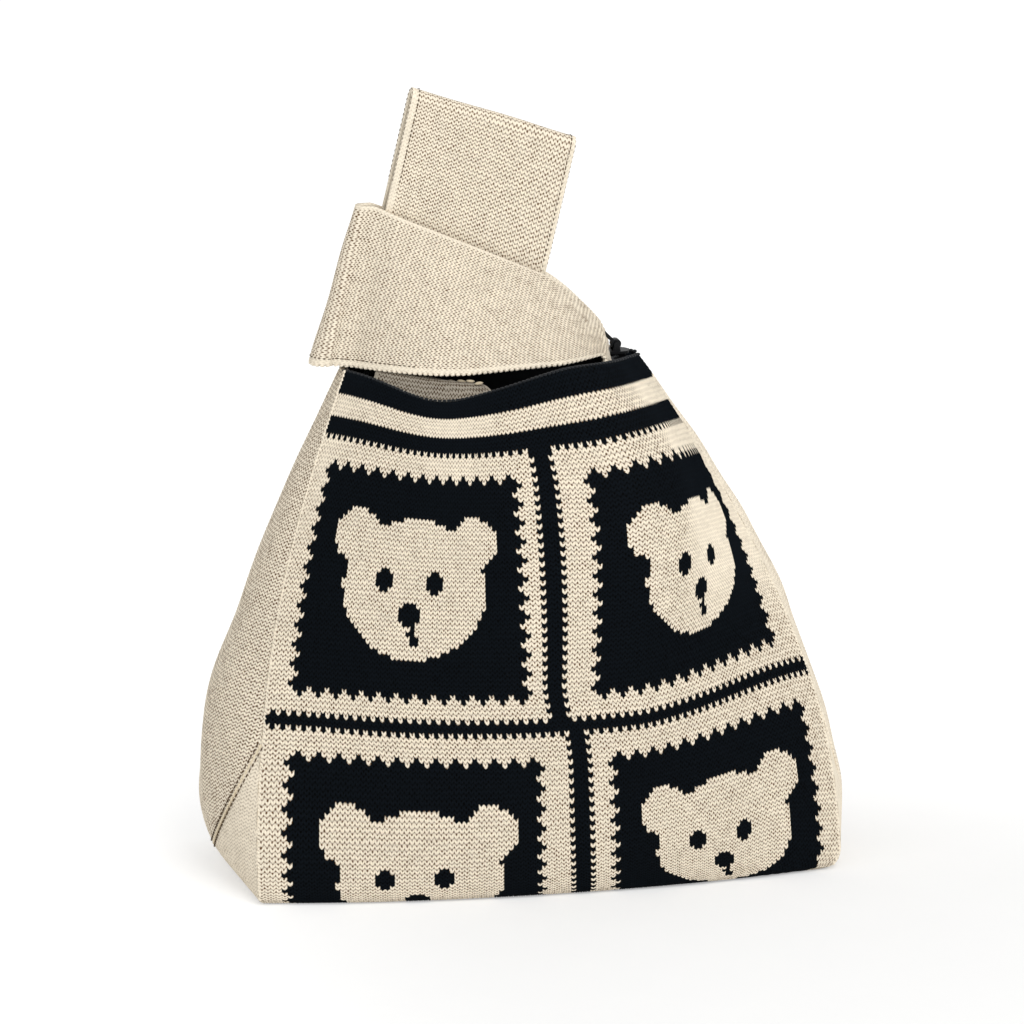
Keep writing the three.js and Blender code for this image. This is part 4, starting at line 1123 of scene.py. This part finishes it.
class BuildPanels(bpy.types.Operator):
    """Front and back panel, knitted to the chart and folded under the base."""
    bl_idname = "knotbag.panels"
    bl_label = "Panels"

    def execute(self, context):
        settings = context.scene.knotbag_knit
        material = knit_material("two-colour cotton knit", settings)
        rows, columns = CHART_ROWS, CHART_COLUMNS
        row = zigzag(rows, columns)
        column = np.broadcast_to(half_columns(columns), row.shape)
        yarn = chart(*np.meshgrid(np.arange(columns), np.arange(rows)))
        for side, name in ((-1, "front"), (1, "back")):
            outside, under = panel_point(column, row)
            plain, _ = panel_point(column, np.repeat(np.arange(rows + 1.0)[:, None], row.shape[1], axis=1))
            facing = -cross_normals(plain)
            # On the wall the way out is to the front.
            inward = (facing[..., 1:2] > TURNED) & (under[..., None] <= 0)
            facing = np.where(inward, -facing, facing)
            u = column_share(column, row)
            free = (1 - np.abs(u) ** 6) * (1 - smooth(row, *FLAT_ROWS))
            wave = settings.wave / MM * soft_wave(column * ROW_HEIGHT, row * ROW_HEIGHT, PANEL_SEED - side)
            outside = outside + facing * (wave * free)[..., None]
            narrow = outside.copy()
            narrow[..., 0] -= u * MITRE * np.abs(u) ** 2
            inside = narrow - facing * KNIT
            if side > 0:
                turn = np.array([1, -1, 1])
                outside, inside, facing = outside * turn, inside * turn, facing * turn
            # Where the legs of the stitches crowd, they lie flat and close.
            pitch = np.pad(np.linalg.norm(np.diff(plain, axis=1), axis=-1), ((0, 0), (0, 1)), "edge")
            lower = smooth(row, *CROWD_ROWS)
            tightest, loosest = (lerp(*pair, lower) for pair in zip(UPPER_CROWD, LOWER_CROWD))
            shown = CROWD_SHOWN + (1 - CROWD_SHOWN) * smooth(pitch, tightest, loosest)
            facing = facing * shown[..., None]
            # Its inside faces are all dark yarn: painted shade for the dark inside of the mouth.
            piece = knit_piece(f"{name}_panel_knit", outside, inside, facing, material, yarn,
                               plain_from=FOLD_ROW, inside_yarn=np.zeros_like(yarn),
                               stitch=stitch_grid(rows, columns, shown))
            settle(piece, "patterned_knit", f"{name}_panel")
        return {"FINISHED"}


class BuildGussets(bpy.types.Operator):
    """Both gussets, each with a corner below its slanted seam."""
    bl_idname = "knotbag.gussets"
    bl_label = "Gussets"

    def execute(self, context):
        settings = context.scene.knotbag_knit
        material = knit_material("cream cotton knit", settings)
        columns = GUSSET_COLUMNS
        for side, where in ((-1, "left"), (1, "right")):
            for lower in (False, True):
                low, high = (0.0, CORNER_SEAM_RISE) if lower else (CORNER_SEAM_FOOT, float(BODY_HEIGHT))
                rows = round((high - low) / GUSSET_ROW)
                row = zigzag(rows, columns)
                z = high - row * (high - low) / rows
                y = np.broadcast_to((half_columns(columns) - columns / 2) * GUSSET_STITCH, z.shape)
                limit = ridge_y(z) - SEAM_DRAW
                v = np.clip(y, -limit, limit) / ridge_y(z)
                seam = corner_seam(v)
                cut = np.minimum(z, seam - SEAM_DRAW) if lower else np.maximum(z, seam + SEAM_DRAW)
                cut = np.clip(cut, 0, BODY_HEIGHT)
                limit = ridge_y(cut) - SEAM_DRAW
                beyond = np.where(y > limit, 1, np.where(y < -limit, -1, 0))
                past = z > seam - SEAM_DRAW if lower else z < seam + SEAM_DRAW
                # Stitches that lie wholly beyond a ridge or past the seam are left out.
                kept = np.ones((rows, columns), bool)
                corners = [(slice(di, rows + di), slice(dj, 2 * columns + dj - 1 if dj < 2 else None, 2))
                           for di in (0, 1) for dj in (0, 1, 2)]
                for level in (1, -1):
                    kept &= ~np.all([beyond[c][:, :columns] == level for c in corners], axis=0)
                kept &= ~np.all([past[c][:, :columns] for c in corners], axis=0)
                v = np.clip(y, -limit, limit) / ridge_y(cut)
                outside = gusset_point(side, v, cut)
                facing = gusset_facing(side, v, cut)
                free = (1 - v ** 4) * smooth(cut, *GUSSET_FREE)
                wave = settings.wave / MM * soft_wave(y, cut, GUSSET_SEED + side) * free
                outside = outside + facing * wave[..., None]
                narrow = outside.copy()
                narrow[..., 1] -= np.sign(v) * np.minimum(MITRE * v ** 2, np.abs(narrow[..., 1]) * MITRE_MOST)
                inside = narrow - facing * KNIT
                name = f"{where}_gusset_corner" if lower else f"{where}_gusset"
                # The dark hem runs on round the mouth's right end.
                yarn = np.ones((rows, columns))
                if side > 0 and not lower:
                    yarn[:HEM_DARK] = 0
                # Gaps fade towards the right gusset's front ridge: at a slant they ran together in streaks.
                shown = CORNER_GAPS if lower else GUSSET_GAPS
                if side > 0:
                    shown = shown * lerp(RIGHT_GAPS, 1, smooth(v, *RIGHT_GAPS_SHARES))
                piece = knit_piece(f"{name}_knit", outside, inside, facing, material, yarn, kept,
                                   GUSSET_RELIEF, GUSSET_GROOVE, stitch=stitch_grid(rows, columns, shown))
                settle(piece, "cream_knit", name)
        return {"FINISHED"}


def catmull_rom(points, count):
    """Points along a centripetal curve through the given ones."""
    points = np.asarray(points, float)
    ends = np.concatenate([[2 * points[0] - points[1]], points, [2 * points[-1] - points[-2]]])
    knots = np.concatenate([[0], np.cumsum(np.sqrt(np.linalg.norm(np.diff(ends, axis=0), axis=1)))])
    result = []
    for t in np.linspace(knots[1], knots[-2], count):
        i = int(np.clip(np.searchsorted(knots, t, side="right") - 1, 1, len(points) - 1))
        t0, t1, t2, t3 = knots[i - 1:i + 3]
        p0, p1, p2, p3 = ends[i - 1:i + 3]
        a1 = lerp(p0, p1, (t - t0) / (t1 - t0))
        a2 = lerp(p1, p2, (t - t1) / (t2 - t1))
        a3 = lerp(p2, p3, (t - t2) / (t3 - t2))
        b1 = lerp(a1, a2, (t - t0) / (t2 - t0))
        b2 = lerp(a2, a3, (t - t1) / (t3 - t1))
        result.append(lerp(b1, b2, (t - t1) / (t2 - t1)))
    return np.array(result)


def even(path):
    """A path's share of its length at each of its points."""
    length = np.concatenate([[0], np.cumsum(np.linalg.norm(np.diff(path, axis=0), axis=1))])
    return length / length[-1], length[-1]


def sample(path, at):
    """Points of a path at shares of its length."""
    place, _ = even(path)
    return np.stack([np.interp(at, place, path[:, k]) for k in range(3)], -1)


FOLD_ALONG = np.array([math.cos(FOLD_TILT), 0, -math.sin(FOLD_TILT)])
FOLD_UP = np.array([math.sin(FOLD_TILT), 0, math.cos(FOLD_TILT)])
STRAP_UP = FOLD_UP - FOLD_ALONG * math.tan(LOOP_LEAN)


def leg_path(side, s):
    """One thread of a leg of the long handle, from inside its lip up to the fold."""
    u = lerp(LEG_FIRST, LEG_LAST, s)
    lip = hem_top(u)
    foot = behind_panel(side, u, lip - LEG_TUCK, SLOT_DEPTH)
    edge = behind_panel(side, u, lip, SLOT_DEPTH)
    top = FOLD_LEFT + FOLD_ALONG * STRAP_WIDTH * s - STRAP_UP * LEG_ROLL_GAP
    top[1] = side * LAYER_Y
    stages = []
    drawn = zip(LEG_STAGES, LEG_GATHER, LEG_RIGHT_GATHER, LEG_RIGHT_RISE)
    for (come, left, risen), gather, right_gather, right_rise in drawn:
        x = lerp(lerp(edge[0], top[0], come), GATHER_X, lerp(gather, right_gather, s ** 2))
        z = lerp(lip, top[2], lerp(risen, right_rise, s ** 2))
        stages.append(np.array([x, lerp(top[1], edge[1], left), z]))
    return catmull_rom([foot, edge, *stages, top], LEG_POINTS)


def long_handle_path(s):
    """One thread of the long handle, from inside the front lip over the loop's top to inside the back lip."""
    front, back = leg_path(-1, s), leg_path(1, s)
    base = FOLD_LEFT + FOLD_ALONG * STRAP_WIDTH * s
    centre = LOOP_HEIGHT + LOOP_RIGHT_RISE * s - LOOP_GAP / 2 - STRAP_KNIT
    up = [base + STRAP_UP * h + np.array([0, -LAYER_Y, 0]) for h in np.linspace(0, centre, LOOP_POINTS)]
    over = [base + STRAP_UP * (centre + LAYER_Y * math.sin(a)) + np.array([0, -LAYER_Y * math.cos(a), 0])
            for a in np.linspace(0, math.pi, LOOP_TURN_POINTS)[1:-1]]
    down = [p * np.array([1, -1, 1]) for p in up[::-1]]
    return np.array([*front, *up, *over, *down, *back[::-1]])


def slot_y(x):
    """Half the distance between the slots inside the lips, where the straps are sewn in."""
    u = np.clip((x - MOUTH_SHIFT) / (MOUTH_LENGTH / 2), -1, 1)
    return MOUTH_END_WIDTH / 2 + panel_bulge(BODY_HEIGHT) * bow(u) - SLOT_DEPTH


def band_ends(side, part):
    """Lower and upper end of a line across the short handle, from its fold (0) to its root (1)."""
    low, high = np.zeros(3), np.zeros(3)
    low[0] = lerp(BAND_FOLD_LOW[0] + BAND_FOLD_LOW_RADIUS, BAND_LOW_END, part)
    high[0] = lerp(BAND_FOLD_HIGH[0] + BAND_FOLD_HIGH_RADIUS, BAND_HIGH_END[side > 0], part)
    open_low = lerp(BAND_FOLD_LOW_RADIUS, BAND_SPREAD, smooth(part, *BAND_OPENING))
    low[1] = side * min(open_low, max(slot_y(low[0]), BAND_LEAST_OPEN))
    high[1] = side * lerp(BAND_FOLD_HIGH_RADIUS, BAND_HIGH_SPREAD, smooth(part, *BAND_HIGH_OPENING))
    low[2] = BAND_LOW_LEVEL + BAND_LOW_RISE * max(low[0] - BAND_RISE_START, 0)
    low[2] += BAND_FOLD_LIFT * (1 - smooth(part, *BAND_FOLD_REACH))
    low[2] -= BAND_TUCK * smooth(low[0], BAND_LOW_END - BAND_LOW_TUCK_REACH, BAND_LOW_END)
    start = BAND_FOLD_HIGH[0] + BAND_FOLD_HIGH_RADIUS
    past = max(high[0] - BAND_DROP_START, 0)
    along = max(high[0] - start - BAND_DROP_LAG, 0)
    high[2] = BAND_FOLD_HIGH[2] - BAND_DROP * along - BAND_CURVE * past ** 2
    high[2] -= BAND_TUCK * smooth(part, BAND_HIGH_TUCK_START, 1)
    return low, high


def band_lines():
    """Lines across the short handle from its lower edge up, in order from its front root to its back one."""
    across = np.linspace(0, 1, BAND_POINTS)[:, None]
    lines = []

    def line(low, high, swell):
        middle = lerp(low, high, across)
        middle[:, 1] += swell * np.sin(np.pi * across[:, 0])
        lines.append(middle)

    for part in np.linspace(1, 0, BAND_LINES)[:-1]:
        line(*band_ends(-1, part), -BAND_BULGE * smooth(part, *BAND_BULGE_REACH))
    for angle in np.linspace(0, math.pi, BAND_TURN_LINES):
        turn = np.array([-math.sin(angle), -math.cos(angle), 0])
        inset = np.array([1.0, 0, 0])
        low = BAND_FOLD_LOW + BAND_FOLD_LOW_RADIUS * (turn + inset)
        high = BAND_FOLD_HIGH + BAND_FOLD_HIGH_RADIUS * (turn + inset)
        low[2] = band_ends(-1, 0)[0][2]
        line(low, high, 0)
    for part in np.linspace(0, 1, BAND_LINES)[1:]:
        line(*band_ends(1, part), BAND_BULGE * smooth(part, *BAND_BULGE_REACH))
    return np.array(lines)


def strap_piece(name, lines, length, settings, seed, root=0.0):
    """A knitted strap whose threads are the lines, both faces alike. Gives its middle's points and the ways
    out too. Near its ends, for the share called root, painted shade darkens it: its gaps show more and its
    yarn is drawn towards the dark yarn."""
    columns = STRAP_COLUMNS
    rows = round(length / STRAP_ROW)
    row = zigzag(rows, columns) / rows
    middle = np.stack([sample(line, row[:, k]) for k, line in enumerate(lines)], 1)
    flat_row = np.repeat(np.linspace(0, 1, rows + 1)[:, None], 2 * columns + 1, axis=1)
    plain = np.stack([sample(line, flat_row[:, k]) for k, line in enumerate(lines)], 1)
    facing = cross_normals(plain)
    if facing[rows // 4, columns, 1] > 0:
        facing = -facing
    s = np.linspace(-1, 1, 2 * columns + 1)
    wave = STRAP_WAVE * settings.wave / MM * soft_wave(s * STRAP_WIDTH / 2, row * length, seed) * (1 - s ** 4)
    middle = middle + facing * wave[..., None]
    material = knit_material("cream cotton strap knit", settings)
    half = STRAP_KNIT / 2
    leg = np.arange(2 * columns + 1)
    shown = np.where((leg < STRAP_TURN) | (2 * columns - leg < STRAP_TURN - 1), TURN_GAPS, 1)
    end = np.minimum(flat_row, 1 - flat_row)
    shown = shown * np.where(end < root, ROOT_GAPS, 1)
    yarn = None
    if root:
        # Down in the mouth the strap lies in deep shade, which is painted as a darker yarn.
        lit = smooth(end[:-1, 1::2], root + ROOT_FADE[0], root + ROOT_FADE[1])
        yarn = 1 - ROOT_SHADE * (1 - lit)
    piece = knit_piece(name, middle + facing * half, middle - facing * half, facing, material, yarn,
                       relief=STRAP_RELIEF, groove=STRAP_GROOVE, double=True,
                       stitch=stitch_grid(rows, columns, shown))
    return piece, plain, facing


def edge_route(plain, facing, column, first, last, lift):
    """A path along a strap: a column of its grid between two shares of its length, lifted off its middle."""
    rows = plain.shape[0] - 1
    span = slice(round(first * rows), round(last * rows) + 1)
    return plain[span, column] + facing[span, column] * lift, facing[span, column]


class BuildLongHandle(bpy.types.Operator):
    """Long handle: one strap from lip to lip, with its loop above the short handle."""
    bl_idname = "knotbag.long_handle"
    bl_label = "Long handle"

    def execute(self, context):
        settings = context.scene.knotbag_knit
        lines = [long_handle_path(s) for s in np.linspace(0, 1, 2 * STRAP_COLUMNS + 1)]
        length = even(lines[STRAP_COLUMNS])[1]
        piece, outside, facing = strap_piece("long_handle_strap", lines, length, settings, LONG_HANDLE_SEED,
                                             LEG_ROOT)
        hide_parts("long_handle_front_leg", "long_handle_back_leg", "long_handle_loop")
        middle = FOLD_LEFT + FOLD_ALONG * STRAP_WIDTH / 2
        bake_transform(piece)
        # Stitched lines along the loop's edges, and the selvedge of the leg that shows above the lip.
        thread = yarn_material("shaded sewing yarn", settings.sunk_thread_shade)
        # The selvedge down in the mouth gets a darker copy of the cream yarn: painted shade.
        yarn = yarn_material("dulled selvedge yarn", settings.shaded_selvedge_yarn)
        height = (outside[:, STRAP_COLUMNS] - middle) @ FOLD_UP
        above = np.nonzero(height > BLEND_BELOW)[0] / (len(outside) - 1)
        half = STRAP_KNIT / 2 + THREAD_LIFT
        places = ((STRAP_TURN, half), (-STRAP_TURN, half), (0, EDGE_THREAD_LIFT), (-1, EDGE_THREAD_LIFT))
        lines = [edge_route(outside, facing, column, above[0], above[-1], lift) for column, lift in places]
        sew("long_handle_edge_stitches", lines, EDGE_THREAD, thread, "seam_yarn", body="long_handle_loop")
        raised = np.array([0, 0, MOUTH_SELVEDGE_RAISE])
        lines = [edge_route(outside, facing, MOUTH_SELVEDGE_COLUMN, *span, half)
                 for span in MOUTH_SELVEDGE_SPANS]
        lines = [(route + raised, way) for route, way in lines]
        sew("long_handle_selvedge", lines, MOUTH_SELVEDGE, yarn, "cream_knit")
        return {"FINISHED"}


class BuildShortHandle(bpy.types.Operator):
    """Short handle: a flat loop laid to the left round the long handle."""
    bl_idname = "knotbag.short_handle"
    bl_label = "Short handle"

    def execute(self, context):
        settings = context.scene.knotbag_knit
        across = np.linspace(0, 1, 2 * STRAP_COLUMNS + 1)
        lines = np.stack([sample(line, across) for line in band_lines()], 1)
        length = even(lines[STRAP_COLUMNS])[1]
        piece, outside, facing = strap_piece("short_handle_strap", lines, length, settings, SHORT_HANDLE_SEED)
        settle(piece, "cream_knit", "short_handle")
        # A selvedge of loops along the lower edge, and a stitched line beside it.
        thread = yarn_material("shaded sewing yarn", settings.sunk_thread_shade)
        yarn = yarn_material("cream selvedge yarn", settings.cream_yarn)
        lines = [edge_route(outside, facing, 0, *BAND_SELVEDGE_SPAN, 0.0)]
        sew("short_handle_selvedge", lines, SELVEDGE_LOOP, yarn, "cream_knit")
        lines = [edge_route(outside, facing, STRAP_TURN, *BAND_FOLD_SPAN, STRAP_KNIT / 2 + THREAD_LIFT)]
        sew("short_handle_edge_stitches", lines, EDGE_THREAD, thread, "seam_yarn")
        return {"FINISHED"}


class BuildSeams(bpy.types.Operator):
    """Seams along the ridges, across the gussets and under the base, and the chained edge of the hems."""
    bl_idname = "knotbag.seams"
    bl_label = "Seams"

    def execute(self, context):
        settings = context.scene.knotbag_knit
        cream = yarn_material("cream selvedge yarn", settings.cream_yarn)
        yarn = yarn_material("cotton sewing yarn", settings.sewing_yarn)
        sunk = yarn_material("shaded sewing yarn", settings.sunk_thread_shade)
        dark = yarn_material("dark knitting yarn", settings.dark_yarn)
        for side, where in ((-1, "left"), (1, "right")):
            # The hem of the right end is one with the panels' and has no seam.
            stop = RIGHT_SEAM_STOP if side > 0 else LEFT_SEAM_STOP
            z = np.linspace(BASE_EDGE_RADIUS, BODY_HEIGHT - stop, RIDGE_POINTS)
            for face, end in ((-1, "front"), (1, "back")):
                points = np.stack([middle_x(z) + side * ridge_out(side, z), face * ridge_y(z), z], -1)
                outward = np.tile(np.array([side, face, 0]) / math.sqrt(2), (len(z), 1))
                path = (points - outward * SEAM_SINK, outward)
                name = f"{where}_{end}_seam"
                sew(f"{name}_stitches", [path], RIDGE_STITCH, cream, "seam_yarn", name)
            v = np.linspace(-CORNER_SEAM_REACH, CORNER_SEAM_REACH, CORNER_SEAM_POINTS)
            route = gusset_point(side, v, corner_seam(v))
            outward = gusset_facing(side, v, corner_seam(v))
            # The right one's cord is of the cloth's own yarn: from the front it doesn't show.
            cord = yarn if side < 0 else cream
            name = f"{where}_corner_seam"
            sew(f"{name}_cord", [(route, outward)], SEAM_CORD, cord, "seam_yarn", name)
            aside = np.cross(np.gradient(route, axis=0), outward)
            aside /= np.linalg.norm(aside, axis=-1, keepdims=True)
            sewn = slice(0 if side < 0 else RIGHT_SEWN_FROM, None)
            beside = [((route + aside * shift + outward * DASH_LIFT)[sewn], outward[sewn])
                      for shift in (-DASH_ASIDE, DASH_ASIDE)]
            sew(f"{name}_stitches", beside, SEAM_DASH, sunk, "seam_yarn")
        x = np.linspace(-BASE_SEAM_REACH, BASE_SEAM_REACH, BASE_SEAM_POINTS)
        points = np.stack([x, 0 * x, 0 * x + BASE_SEAM_LEVEL], -1)
        outward = np.tile([0.0, 0, -1], (len(x), 1))
        sew("base_seam_stitches", [(points, outward)], RIDGE_STITCH, yarn, "seam_yarn", "base_seam")
        lip, _ = panel_point(np.linspace(0, CHART_COLUMNS, HEM_POINTS), np.zeros(HEM_POINTS))
        lip[:, 1] += KNIT / 2
        upward = np.tile([0.0, 0, 1], (HEM_POINTS, 1))
        rows = [(lip, upward), (lip * np.array([1, -1, 1]), upward)]
        sew("hem_chain", rows, HEM_CHAIN, dark, "patterned_knit")
        return {"FINISHED"}


def zip_level(u):
    """Height of the zip's coils."""
    return hem_top(u) - ZIP_DROP * (1 - smooth(u, 0, ZIP_RISE_END))


class BuildZip(bpy.types.Operator):
    """Tapes, coils and the finish of the slider, its pull and the stops."""
    bl_idname = "knotbag.zip"
    bl_label = "Zip"

    def execute(self, context):
        settings = context.scene.knotbag_zip
        tape = yarn_material("woven polyester tape", settings.tape, 0.8)
        coil = yarn_material("moulded nylon coil", settings.tape, 0.45)
        enamel = enamel_material("black enamel", settings.enamel)
        for side, where in ((-1, "front"), (1, "back")):
            u = np.linspace(-TAPE_REACH, TAPE_REACH, TAPE_ROWS + 1)
            drop = half_columns(TAPE_COLUMNS) / TAPE_COLUMNS * TAPE_WIDTH

            def tape_face(depth):
                return np.array([[behind_panel(side, a, zip_level(a) + COIL / 2 - d, depth) for d in drop]
                                 for a in u])

            inside = tape_face(TAPE_DEPTH)
            outside = tape_face(TAPE_DEPTH + TAPE_THICKNESS)
            facing = (outside - inside) / TAPE_THICKNESS
            piece = knit_piece(f"zip_tape_{where}_weave", outside, inside, facing, tape, relief=TAPE_RELIEF,
                               groove=TAPE_GROOVE)
            settle(piece, "zip_tape", f"zip_tape_{where}")
            a = np.linspace(-ZIP_REACH, ZIP_REACH, COIL_POINTS)
            route = np.array([behind_panel(side, t, zip_level(t), COIL_DEPTH) for t in a])
            outward = np.tile([0.0, 0, 1], (len(a), 1))
            turns = dict(COIL_TURN, Spacing=settings.tooth_spacing)
            sew(f"zip_coil_{where}_turns", [(route, outward)], turns, coil, "zip_coil", f"zip_coil_{where}")
        for name in ("zip_stop_front", "zip_stop_back", "zip_slider", "zip_pull"):
            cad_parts[name].data.materials.clear()
            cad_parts[name].data.materials.append(enamel)
        return {"FINISHED"}


OPERATORS = (BuildStage, BuildPanels, BuildGussets, BuildLongHandle, BuildShortHandle, BuildSeams, BuildZip)
GROUPS = (("knotbag_knit", KnitSettings), ("knotbag_zip", ZipSettings), ("knotbag_stage", StageSettings))


class KnotBagPanel(bpy.types.Panel):
    """Lists the steps and the settings."""
    bl_idname = "VIEW3D_PT_knotbag"
    bl_label = "Knot Bag"
    bl_space_type = "VIEW_3D"
    bl_region_type = "UI"
    bl_category = "Knot Bag"

    def draw(self, context):
        for group, kind in GROUPS:
            box = self.layout.box()
            for name in kind.__annotations__:
                box.prop(getattr(context.scene, group), name)
        for operator in OPERATORS:
            self.layout.operator(operator.bl_idname)


def register():
    for group, kind in GROUPS:
        bpy.utils.register_class(kind)
        setattr(bpy.types.Scene, group, bpy.props.PointerProperty(type=kind))
    for kind in (*OPERATORS, KnotBagPanel):
        bpy.utils.register_class(kind)


def unregister():
    for kind in reversed((*OPERATORS, KnotBagPanel)):
        bpy.utils.unregister_class(kind)
    for group, kind in reversed(GROUPS):
        delattr(bpy.types.Scene, group)
        bpy.utils.unregister_class(kind)


def main():
    register()
    bpy.ops.knotbag.stage()
    bpy.ops.knotbag.panels()
    bpy.ops.knotbag.gussets()
    bpy.ops.knotbag.long_handle()
    bpy.ops.knotbag.short_handle()
    bpy.ops.knotbag.seams()
    bpy.ops.knotbag.zip()


if __name__ == "__main__":
    main()
